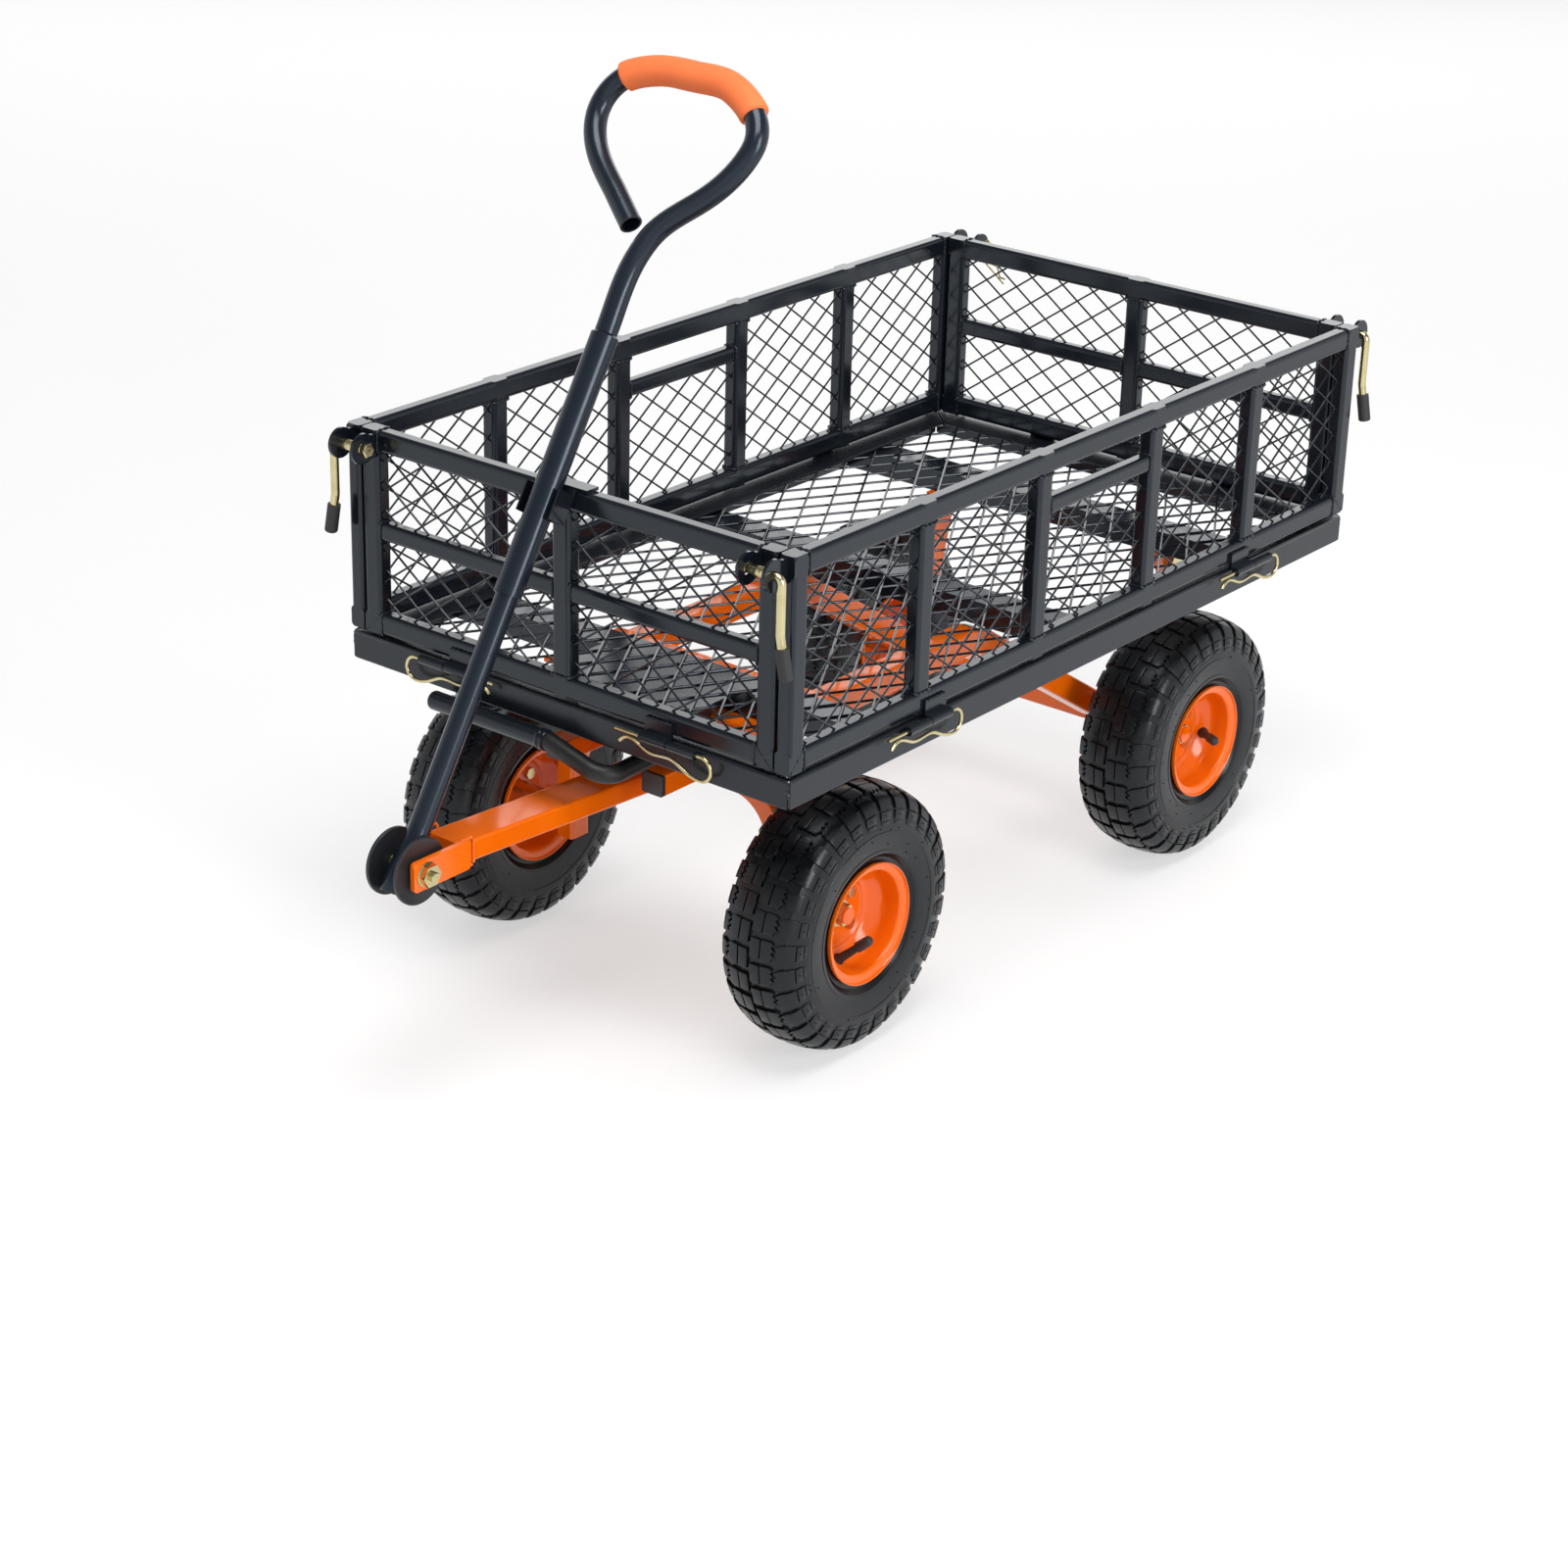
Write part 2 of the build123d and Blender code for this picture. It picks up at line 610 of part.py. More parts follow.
def half_rim():
    s = rim_sheet
    bore = hub_radius + 0.1
    back = [(bore, 0), (rim_disc_radius + 1, 0), (rim_disc_radius + 5, 1.5), (48.2, 12.6), (rim_seat_radius, 16.5)]
    back += [(rim_seat_radius, 34), (rim_lip_radius, 35.2), (rim_lip_radius, rim_lip_offset)]
    dish = [(54, rim_lip_offset), (rim_seat_radius - s, 35.4), (rim_seat_radius - s, 17), cone_high, cone_low]
    dish += [(rim_disc_radius, s), (bore, s)]
    half = revolve(make_face(Polyline(*back, *dish, close=True)), Axis.Y)
    for a in rim_bolt_angles:
        half = half - rod_y(rim_bolt_circle * math.cos(a), -1, 10, rim_bolt_circle * math.sin(a), rim_bolt_radius)
    return half


# Valve stem, standing square on the cone of the outer half
valve_angles = {"front_left": -80, "front_right": 128, "rear_left": 196, "rear_right": 40}


def valve_stem(angle):
    run = cone_high[0] - cone_low[0]
    rise = cone_high[1] - cone_low[1]
    slant = math.hypot(run, rise)
    foot = 0.62
    seat = Vector(cone_low[0] + foot * run - 0.15 * rise / slant, cone_low[1] + foot * rise + 0.15 * run / slant, 0)
    stem = extrude(Plane(origin=seat, z_dir=(-rise / slant, run / slant, 0)) * Circle(valve_radius), valve_length)
    return Rot(0, -angle, 0) * stem


def hub_solids():
    tube = rod_y(0, -hub_inner_end, hub_outer_end, 0, hub_radius)
    tube = tube - rod_y(0, -100, 100, 0, spindle_radius + pivot_clearance)
    solids = [tube]
    for a in rim_bolt_angles:
        x = rim_bolt_circle * math.cos(a)
        z = rim_bolt_circle * math.sin(a)
        bolt = rod_y(x, -rim_sheet, rim_sheet, z, rim_bolt_radius)
        bolt = bolt + hex_y(x, rim_sheet, rim_sheet + rim_bolt_head, z, rim_bolt_across)
        solids.append(bolt + hex_y(x, -rim_sheet - rim_bolt_head, -rim_sheet, z, rim_bolt_across))
    return solids


tyre = tyre_solid()
rim = half_rim()
hub = hub_solids()
wheel_places = (
    ("front_left", front_axle_x, 1),
    ("front_right", front_axle_x, -1),
    ("rear_left", rear_axle_x, 1),
    ("rear_right", rear_axle_x, -1),
)
for name, x, side in wheel_places:
    def place(shape):
        shape = shape if side > 0 else flip_y(shape)
        return Pos(x, side * track_half, axle_z) * shape
    save(f"{name}_tyre", place(tyre), place(valve_stem(valve_angles[name])))
    save(f"{name}_rim", place(rim), place(flip_y(rim)))
    save(f"{name}_hub", *[place(s) for s in hub])

# Front axle: flat tube bent into an arch, with a spindle for each wheel
leg_inner_y = leg_outer_y - arch_tube
arch_bottom = arch_top - arch_tube
outer_radius = arch_inner_radius + arch_tube
arch_face = Plane(origin=(arch_x - arch_depth / 2, 0, 0), x_dir=(0, 1, 0), z_dir=(1, 0, 0))
outline = make_face(Polyline((-leg_outer_y, leg_bottom), (leg_outer_y, leg_bottom), (leg_outer_y, arch_top), (-leg_outer_y, arch_top), close=True))
outline = fillet(outline.vertices().group_by(Axis.Y)[-1], outer_radius)
hollow = make_face(Polyline((-leg_inner_y, leg_bottom - 5), (leg_inner_y, leg_bottom - 5), (leg_inner_y, arch_bottom), (-leg_inner_y, arch_bottom), close=True))
hollow = fillet(hollow.vertices().group_by(Axis.Y)[-1], arch_inner_radius)
arch = extrude(arch_face * (outline - hollow), arch_depth)
arch = fillet(arch.edges().filter_by(Axis.Z), 3.0)
spindle_tip = track_half + hub_outer_end + 2 + wheel_nut_length + 2
collar_end = track_half - hub_inner_end - 0.4


# Spindle and collar that stand out of an axle tube
def axle_stub(x, start):
    return rod_y(x, start - 4, spindle_tip, axle_z, spindle_radius) + rod_y(x, start - 4, collar_end, axle_z, hub_radius - 2)


front_stub = axle_stub(front_axle_x, leg_outer_y)
save("front_axle", arch + front_stub + flip_y(front_stub))

# Rear axle: straight square tube with the same spindles
rear_tube = tube_y(rear_axle_x, -rear_axle_half, rear_axle_half, axle_z, axle_tube, axle_tube)
rear_stub = axle_stub(rear_axle_x, rear_axle_half)
save("rear_axle", rear_tube + rear_stub + flip_y(rear_stub))


# Wheel nut and washer at the end of a spindle
def wheel_nut(x):
    start = track_half + hub_outer_end + 0.4
    nut = rod_y(x, start, start + 1.6, axle_z, hub_radius - 1) + hex_y(x, start + 1.6, start + 1.6 + wheel_nut_length, axle_z, 18)
    return nut - rod_y(x, 0, 300, axle_z, spindle_radius)


# Steering head: two capped rails over the arch, base plate, drum and kingpin
rails = []
caps = []
for side in (1, -1):
    y = side * rail_y
    rail_z = arch_top + rail_height / 2
    rails.append(tube_x(rail_rear_x, rail_front_x, y, rail_z, rail_width, rail_height, 2.0))
    caps.append(tube_x(rail_front_x, rail_front_x + cap_length, y, rail_z, rail_width, rail_height, 2.0))
save("steering_rails", *rails)
save("rail_end_caps", *caps)

rail_top = arch_top + rail_height
base_top = rail_top + base_plate_thickness
member_bottom = deck_bottom - member_depth
top_plate_bottom = member_bottom - top_plate_thickness
drum_top = top_plate_bottom - turntable_gap
base = block(front_axle_x - base_plate_half_length, front_axle_x + base_plate_half_length,
             -base_plate_half_width, base_plate_half_width, rail_top, base_top)
base = base + rod_z(front_axle_x, 0, base_top, drum_top, drum_radius)
base = base - rod_z(front_axle_x, 0, 0, 400, kingpin_radius + pivot_clearance)
save("turntable_base", base)

top_plate = block(front_axle_x - top_plate_rear, front_axle_x + top_plate_front,
                  -top_plate_half_width, top_plate_half_width, top_plate_bottom, member_bottom)
top_plate = top_plate - rod_z(front_axle_x, 0, 0, 400, kingpin_radius + pivot_clearance)
save("turntable_top_plate", top_plate)

kingpin = rod_z(front_axle_x, 0, arch_top + 8, member_bottom + 0.5, kingpin_radius)
kingpin = kingpin + rod_z(front_axle_x, 0, member_bottom + 0.5, member_bottom + 0.5 + kingpin_cap_height, kingpin_cap_radius)
kingpin = kingpin + hex_z(front_axle_x, 0, rail_top - 12, rail_top - 0.2, 30)
save("kingpin", kingpin)

# Tongue: flat tube rising slightly to the fork plates
slope = math.tan(math.radians(tongue_slope))
tongue_root_x = arch_x + arch_depth / 2


def tongue_top(x):
    return tongue_root_top + (x - tongue_root_x) * slope


tongue_side = [(tongue_root_x, tongue_top(tongue_root_x)), (tongue_front_x, tongue_top(tongue_front_x))]
tongue_side += [(tongue_front_x, tongue_top(tongue_front_x) - tongue_height), (tongue_root_x, tongue_top(tongue_root_x) - tongue_height)]
side_face = Plane(origin=(0, tongue_width / 2, 0), x_dir=(1, 0, 0), z_dir=(0, -1, 0))
tongue = extrude(side_face * make_face(Polyline(*tongue_side, close=True)), tongue_width)
tongue = fillet(tongue.edges().filter_by(lambda e: abs((e % 0.5).X) > 0.9), 2.5)
save("tongue", tongue)

# Fork plates on the sides of the tongue, each with a hole for the handle bolt
forks = []
for side in (1, -1):
    y0 = side * (tongue_width / 2 + fork_side_gap)
    y1 = side * (tongue_width / 2 + fork_side_gap + fork_thickness)
    fork = block(fork_rear_x, fork_front_x, y0, y1, pivot_z - fork_height / 2, pivot_z + fork_height / 2)
    fork = fillet(fork.edges().filter_by(Axis.Y), 4.0)
    forks.append(fork - rod_y(pivot_x, -60, 60, pivot_z, handle_bolt_radius))
save("fork_plates", *forks)

fork_outer = tongue_width / 2 + fork_side_gap + fork_thickness
fork_bolt = rod_y(pivot_x, -fork_outer - 9, fork_outer, pivot_z, handle_bolt_radius)
fork_bolt = fork_bolt + hex_y(pivot_x, fork_outer, fork_outer + 7, pivot_z, 18)
fork_bolt = fork_bolt + hex_y(pivot_x, -fork_outer - 8, -fork_outer, pivot_z, 18)
front_nut = wheel_nut(front_axle_x)
plate_bolts = []
for dx in (-46, 30):
    for dy in (-57, 57):
        plate_bolts.append(hex_z(front_axle_x + dx, dy, base_top, base_top + 6, 15))
save("steering_fasteners", fork_bolt, front_nut, flip_y(front_nut), *plate_bolts)

# Pull handle, drawn upright along Z from its pivot and then leaned back over the bed
bolt_hole = rod_y(0, -60, 60, 0, handle_bolt_radius + pivot_clearance)
hub_core = rod_y(0, -hub_disc_y, hub_disc_y, 0, hub_barrel_radius)
for side in (1, -1):
    hub_core = hub_core + rod_y(0, side * (hub_disc_y - hub_disc_thickness), side * hub_disc_y, 0, hub_disc_radius)
handle_hub = hub_core - bolt_hole
save("handle_hub", leaned * handle_hub)

lower_tube = rod_z(0, 0, 8, lower_tube_end, lower_tube_radius) - hub_core
lower_tube = lower_tube.solids().sort_by(Axis.Z)[-1]
save("handle_lower_tube", leaned * lower_tube)
sleeve = rod_z(0, 0, sleeve_start, sleeve_end, sleeve_radius)
sleeve = sleeve - rod_z(0, 0, sleeve_start - 1, sleeve_end - 4, lower_tube_radius + pivot_clearance)
sleeve = chamfer(sleeve.edges().group_by(Axis.Z)[-1], 1.2)
save("handle_sleeve", leaned * sleeve)

# Loop: the tube leaves the sleeve, swings out to one side, over the top and back to an open end
def loop_part(points, first, last):
    return Spline(*[(0, y, s) for y, s in points], tangents=[(0, *first), (0, *last)])


hold = loop_part(loop_hold, loop_leave, loop_enter)
loop_path = loop_part(loop_rise, (0, 1), loop_leave) + hold + loop_part(loop_return, loop_enter, loop_exit)
save("handle_loop", leaned * pipe(loop_path, loop_tube_radius, loop_tube_bore))
grip = pipe(hold, grip_radius, loop_tube_radius + grip_clearance)
save("handle_grip", leaned * grip)

# Release lever: straight grip across the front, bar bending down and back to its pivot
bar_line = FilletPolyline(
    (lever_x, lever_grip_inner_y, lever_grip_z),
    (lever_x, lever_grip_inner_y + 6, lever_grip_z),
    (lever_x - 2, lever_low_y, lever_low_z),
    (lever_pivot_x, lever_low_y, lever_pivot_z),
    radius=20.0,
)
bar = pipe(bar_line, lever_bar_radius)
boss = rod_y(lever_pivot_x, lever_low_y - lever_boss_half, lever_low_y + lever_boss_half, lever_pivot_z, lever_boss_radius)
bar = bar + boss - rod_y(lever_pivot_x, -200, 200, lever_pivot_z, lever_pin_radius + pivot_clearance)
save("release_lever", bar)
lever_grip = rod_y(lever_x, lever_grip_outer_y, lever_grip_inner_y, lever_grip_z, lever_grip_radius)
lever_grip = fillet(lever_grip.edges().filter_by(GeomType.CIRCLE).sort_by(Axis.Y)[0], 4.0)
save("lever_grip", lever_grip)

# Braces: square tubes level under the bed, bending down to the rear axle
brace_z = top_plate_bottom - brace_tube / 2
brace_line = FilletPolyline(
    (brace_front_x, brace_y, brace_z),
    (brace_bend_x, brace_y, brace_z),
    (rear_axle_x + axle_tube / 2 + 6, brace_y, axle_z + 11),
    radius=brace_bend_radius,
)
brace_wire = Wire(brace_line.edges())
brace_start = Plane(origin=brace_wire @ 0, x_dir=(0, 1, 0), z_dir=brace_wire % 0)
brace = sweep(brace_start * RectangleRounded(brace_tube, brace_tube, brace_radius), path=brace_wire)
brace = brace - rear_tube
save("braces", brace, flip_y(brace))

# Rear uprights: plates from the rear cross member down to the axle
axle_top = axle_z + axle_tube / 2
upright_line = [
    (rear_member_x - 27, member_bottom), (rear_member_x + 25, member_bottom), (rear_member_x + 12, member_bottom - 30),
    (rear_member_x + 14, member_bottom - 90), (rear_axle_x + 12, axle_top), (rear_axle_x - 12, axle_top),
    (rear_member_x - 3, member_bottom - 90), (rear_member_x - 18, member_bottom - 30),
]
upright_face = Plane(origin=(0, upright_y, 0), x_dir=(1, 0, 0), z_dir=(0, 1, 0))
upright = extrude(upright_face * make_face(Polyline(*[(x, -z) for x, z in upright_line], close=True)), upright_thickness)
foot_flange = block(rear_member_x - member_width / 2, rear_member_x + member_width / 2,
                    upright_y - 30, upright_y, member_bottom - 4, member_bottom)
upright = upright + foot_flange
save("rear_uprights", upright, flip_y(upright))


# Fasteners on the chassis: upright bolts, brace bolts and rear wheel nuts
def upright_bolt():
    x = rear_member_x - 6
    z = member_bottom - 12
    head = hex_y(x, upright_y + upright_thickness, upright_y + upright_thickness + 6, z, 15)
    return head + hex_y(x, upright_y - 6, upright_y, z, 15)


rear_nut = wheel_nut(rear_axle_x)
chassis_bolts = []
for s in upright_bolt().solids():
    chassis_bolts += [s, flip_y(s)]
brace_bolt = hex_z(brace_front_x - 12, brace_y, brace_z - brace_tube / 2 - 6, brace_z - brace_tube / 2, 15)
chassis_bolts += [brace_bolt, flip_y(brace_bolt)]
save("chassis_fasteners", rear_nut, flip_y(rear_nut), *chassis_bolts)

print("frame shift", round(frame_shift, 3))
print("parts written", len([n for n in os.listdir("parts") if n.endswith(".step")]))
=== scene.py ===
# %% [markdown]
# A garden utility cart
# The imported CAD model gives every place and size, in metres, with X to the front, Y to the left and Z up.
# This lesson dresses it: paint, zinc and rubber finishes, wire nets, tyres with a real tread, welds and a
# foam grip.

# %% Load the frame
import json
import math
import random

import bmesh
import bpy
from mathutils import Euler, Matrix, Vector, noise


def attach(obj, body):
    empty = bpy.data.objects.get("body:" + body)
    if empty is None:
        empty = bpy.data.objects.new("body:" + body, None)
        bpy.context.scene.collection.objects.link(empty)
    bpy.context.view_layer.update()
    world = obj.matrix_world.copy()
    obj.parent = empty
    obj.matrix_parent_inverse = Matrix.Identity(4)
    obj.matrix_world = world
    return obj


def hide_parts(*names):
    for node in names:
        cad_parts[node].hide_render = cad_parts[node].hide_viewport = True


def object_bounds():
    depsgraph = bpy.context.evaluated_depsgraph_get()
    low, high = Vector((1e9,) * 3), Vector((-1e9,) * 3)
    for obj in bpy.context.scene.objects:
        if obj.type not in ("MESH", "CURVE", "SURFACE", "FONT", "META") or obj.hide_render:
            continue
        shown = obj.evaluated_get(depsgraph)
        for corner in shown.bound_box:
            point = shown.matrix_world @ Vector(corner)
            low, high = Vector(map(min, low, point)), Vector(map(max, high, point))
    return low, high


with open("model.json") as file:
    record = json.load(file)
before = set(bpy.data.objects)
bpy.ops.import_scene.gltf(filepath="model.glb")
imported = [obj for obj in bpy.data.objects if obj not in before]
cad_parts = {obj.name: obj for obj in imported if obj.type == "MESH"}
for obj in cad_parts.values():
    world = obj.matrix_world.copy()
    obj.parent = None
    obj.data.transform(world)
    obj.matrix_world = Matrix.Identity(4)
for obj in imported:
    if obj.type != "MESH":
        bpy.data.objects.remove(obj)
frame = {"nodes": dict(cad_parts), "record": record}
cad_box = [list(corner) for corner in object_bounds()]
cad = frame["nodes"]

# %% [markdown]
# Sizes in the workshop drawing are millimetres from the middle of the bed. The frame's origin lies
# under the middle of the whole cart, so one small helper moves a drawing point into the frame.

# %% Drawing points
MM = 0.001
BED_MIDDLE_X = -96.0


def spot(x, y, z):
    """A drawing point, in millimetres from the middle of the bed, as a point in the frame."""
    return Vector(((x + BED_MIDDLE_X) * MM, y * MM, z * MM))


print("bed middle", spot(0, 0, 0))

# %% [markdown]
# The camera stands where the photographer stood, in front of the left corner and a little above the cart.
# Its place and angle come from a fit to the bed, so a long lens and three angles are all it needs.

# %% Camera
CAMERA_PLACE = (2.39978, 1.86944, 1.48247)
CAMERA_ANGLES = (65.9177, -1.3814, 128.9191)
camera_data = bpy.data.cameras.new("photo_camera")
camera_data.sensor_width = 36.0
camera_data.lens = 79.511
camera_data.clip_end = 60.0
camera = bpy.data.objects.new("photo_camera", camera_data)
camera.location = CAMERA_PLACE
camera.rotation_euler = Euler([math.radians(a) for a in CAMERA_ANGLES])
bpy.context.scene.collection.objects.link(camera)
bpy.context.scene.camera = camera
print("camera at", camera.location)

# %% [markdown]
# A studio for gloss paint: a pale floor, a surround that is bright near the horizon and dim overhead,
# and soft panels. The tops of the rails mirror the bright horizon and the panel behind the cart. Their
# rounded edges mirror the dim part above it, which draws the thin dark line along each rail that makes
# the paint look wet.

# %% Studio
scene = bpy.context.scene
scene.view_settings.view_transform = "Standard"
world = bpy.data.worlds.new("studio_surround")
world.use_nodes = True
sky = world.node_tree
sky.nodes["Background"].inputs["Color"].default_value = (1.0, 1.0, 1.0, 1.0)
direction = sky.nodes.new("ShaderNodeTexCoord")
height = sky.nodes.new("ShaderNodeSeparateXYZ")
fade = sky.nodes.new("ShaderNodeMapRange")
fade.interpolation_type = "SMOOTHSTEP"
for label, value in (("From Min", 0.22), ("From Max", 0.62), ("To Min", 0.85), ("To Max", 0.22)):
    fade.inputs[label].default_value = value
sky.links.new(direction.outputs["Generated"], height.inputs["Vector"])
sky.links.new(height.outputs["Z"], fade.inputs["Value"])
sky.links.new(fade.outputs["Result"], sky.nodes["Background"].inputs["Strength"])
scene.world = world


def soft_panel(name, place, aim, width, height, power):
    """A rectangular lamp that faces a point."""
    lamp = bpy.data.lights.new(name, "AREA")
    lamp.shape = "RECTANGLE"
    lamp.size = width
    lamp.size_y = height
    lamp.energy = power
    holder = bpy.data.objects.new(name, lamp)
    holder.location = place
    holder.rotation_euler = (Vector(aim) - Vector(place)).to_track_quat("-Z", "Y").to_euler()
    holder.visible_camera = False
    scene.collection.objects.link(holder)


soft_panel("panel_above", (0.6, 0.6, 2.9), aim=(0.0, 0.0, 0.0), width=1.6, height=1.6, power=52.0)
soft_panel("panel_behind", (-3.6, -2.9, 1.9), aim=(0.0, 0.0, 0.5), width=8.0, height=2.0, power=75.0)
soft_panel("panel_left", (0.6, 4.2, 1.9), aim=(0.0, 0.0, 0.3), width=1.4, height=2.4, power=85.0)

FLOOR_HALF = 30.0
FLOOR_GAP = 0.0002
floor_corners = [(a * FLOOR_HALF, b * FLOOR_HALF, 0.0) for a, b in ((-1, -1), (1, -1), (1, 1), (-1, 1))]
floor_mesh = bpy.data.meshes.new("studio_floor")
floor_mesh.from_pydata(floor_corners, [], [(0, 1, 2, 3)])
floor = bpy.data.objects.new("studio_floor", floor_mesh)
floor.location.z = cad_box[0][2] - FLOOR_GAP
scene.collection.objects.link(floor)
print("lamps", len(bpy.data.lights))

# %% [markdown]
# Finishes share a few effects, so each effect is a node group built once.
# The groups only put out masks and heights; the shader stays in each material, where it can be read and
# exported.

# %% Node helpers
def add_node(tree, kind, **values):
    """A shader node with some of its inputs or settings given by name."""
    node = tree.nodes.new(kind)
    for key, value in values.items():
        socket = key.replace("_", " ")
        if socket in node.inputs:
            node.inputs[socket].default_value = value
        else:
            setattr(node, key.lower(), value)
    return node


def new_group(name, inputs, outputs):
    """An empty node group with named float inputs and outputs."""
    group = bpy.data.node_groups.new(name, "ShaderNodeTree")
    for label, value in inputs:
        socket = group.interface.new_socket(name=label, in_out="INPUT", socket_type="NodeSocketFloat")
        socket.default_value = value
    for label in outputs:
        group.interface.new_socket(name=label, in_out="OUTPUT", socket_type="NodeSocketFloat")
    return group, group.nodes.new("NodeGroupInput"), group.nodes.new("NodeGroupOutput")


def place_group(tree, group, **values):
    """A placed copy of a group, with its own input values."""
    node = tree.nodes.new("ShaderNodeGroup")
    node.node_tree = group
    for key, value in values.items():
        node.inputs[key.replace("_", " ")].default_value = value
    return node


print("helpers ready")

# %% [markdown]
# Sprayed paint is never quite flat: close up it has a fine ripple called orange peel, and its tone
# drifts a little. Noise in object space gives both, and it stays put when the piece moves.

# %% Group: sprayed coat
sprayed_coat, coat_in, coat_out = new_group(
    "sprayed_coat", [("Peel Scale", 320.0), ("Drift Scale", 9.0)], ["Peel", "Drift"])
place = add_node(sprayed_coat, "ShaderNodeTexCoord")
peel = add_node(sprayed_coat, "ShaderNodeTexNoise", Detail=2.0, Roughness=0.45)
drift = add_node(sprayed_coat, "ShaderNodeTexNoise", Detail=4.0, Roughness=0.6)
for node, source, label in ((peel, "Peel Scale", "Peel"), (drift, "Drift Scale", "Drift")):
    sprayed_coat.links.new(place.outputs["Object"], node.inputs["Vector"])
    sprayed_coat.links.new(coat_in.outputs[source], node.inputs["Scale"])
    sprayed_coat.links.new(node.outputs["Fac"], coat_out.inputs[label])
print("group", sprayed_coat.name)

# %% [markdown]
# Dust settles on faces that look up and in patches, so its mask is the upward part of the normal times a
# broad noise.

# %% Group: settled dust
settled_dust, dust_in, dust_out = new_group(
    "settled_dust", [("Patch Scale", 14.0), ("Amount", 0.3)], ["Dust"])
place = add_node(settled_dust, "ShaderNodeTexCoord")
patches = add_node(settled_dust, "ShaderNodeTexNoise", Detail=6.0, Roughness=0.65)
facing = add_node(settled_dust, "ShaderNodeNewGeometry")
split = add_node(settled_dust, "ShaderNodeSeparateXYZ")
upward = add_node(settled_dust, "ShaderNodeMapRange")
upward.inputs["From Min"].default_value = 0.1
spread = add_node(settled_dust, "ShaderNodeMapRange")
spread.inputs["From Min"].default_value = 0.42
spread.inputs["From Max"].default_value = 0.72
both = add_node(settled_dust, "ShaderNodeMath", operation="MULTIPLY")
scaled = add_node(settled_dust, "ShaderNodeMath", operation="MULTIPLY")
settled_dust.links.new(place.outputs["Object"], patches.inputs["Vector"])
settled_dust.links.new(dust_in.outputs["Patch Scale"], patches.inputs["Scale"])
settled_dust.links.new(patches.outputs["Fac"], spread.inputs["Value"])
settled_dust.links.new(facing.outputs["Normal"], split.inputs["Vector"])
settled_dust.links.new(split.outputs["Z"], upward.inputs["Value"])
settled_dust.links.new(spread.outputs["Result"], both.inputs[0])
settled_dust.links.new(upward.outputs["Result"], both.inputs[1])
settled_dust.links.new(both.outputs["Value"], scaled.inputs[0])
settled_dust.links.new(dust_in.outputs["Amount"], scaled.inputs[1])
settled_dust.links.new(scaled.outputs["Value"], dust_out.inputs["Dust"])
print("group", settled_dust.name)

# %% [markdown]
# Moulded rubber, foam and plastic have a skin of small cells rather than a ripple.
# A Voronoi texture gives the cells, and a broad noise, the cloud, makes their tone drift.

# %% Group: moulded skin
moulded_skin, skin_in, skin_out = new_group(
    "moulded_skin", [("Cell Scale", 900.0), ("Cloud Scale", 18.0)], ["Cells", "Cloud"])
place = add_node(moulded_skin, "ShaderNodeTexCoord")
cells = add_node(moulded_skin, "ShaderNodeTexVoronoi")
cloud = add_node(moulded_skin, "ShaderNodeTexNoise", Detail=5.0, Roughness=0.6)
moulded_skin.links.new(place.outputs["Object"], cells.inputs["Vector"])
moulded_skin.links.new(place.outputs["Object"], cloud.inputs["Vector"])
moulded_skin.links.new(skin_in.outputs["Cell Scale"], cells.inputs["Scale"])
moulded_skin.links.new(skin_in.outputs["Cloud Scale"], cloud.inputs["Scale"])
moulded_skin.links.new(cells.outputs["Distance"], skin_out.inputs["Cells"])
moulded_skin.links.new(cloud.outputs["Fac"], skin_out.inputs["Cloud"])
print("group", moulded_skin.name)

# %% [markdown]
# Every finish is built the same way: a tone that drifts between two colours, a roughness that drifts
# between two values, a little dust, and a bump for the skin. Only the numbers differ from paint to
# rubber to zinc. Sprayed metal takes the paint's ripple and drift; rubber, foam and plastic take the
# cells and the cloud.

# %% Finishes
def linear(r, g, b):
    """A screen colour, 0 to 255, as the linear colour a shader wants."""
    shares = []
    for c in (r, g, b):
        shares.append(((c / 255 + 0.055) / 1.055) ** 2.4 if c > 10 else c / 255 / 12.92)
    return (*shares, 1.0)


DUST_COLOUR = linear(150, 146, 138)
SKIN_OUTPUTS = {"sprayed_coat": ("Peel", "Drift"), "moulded_skin": ("Cells", "Cloud")}


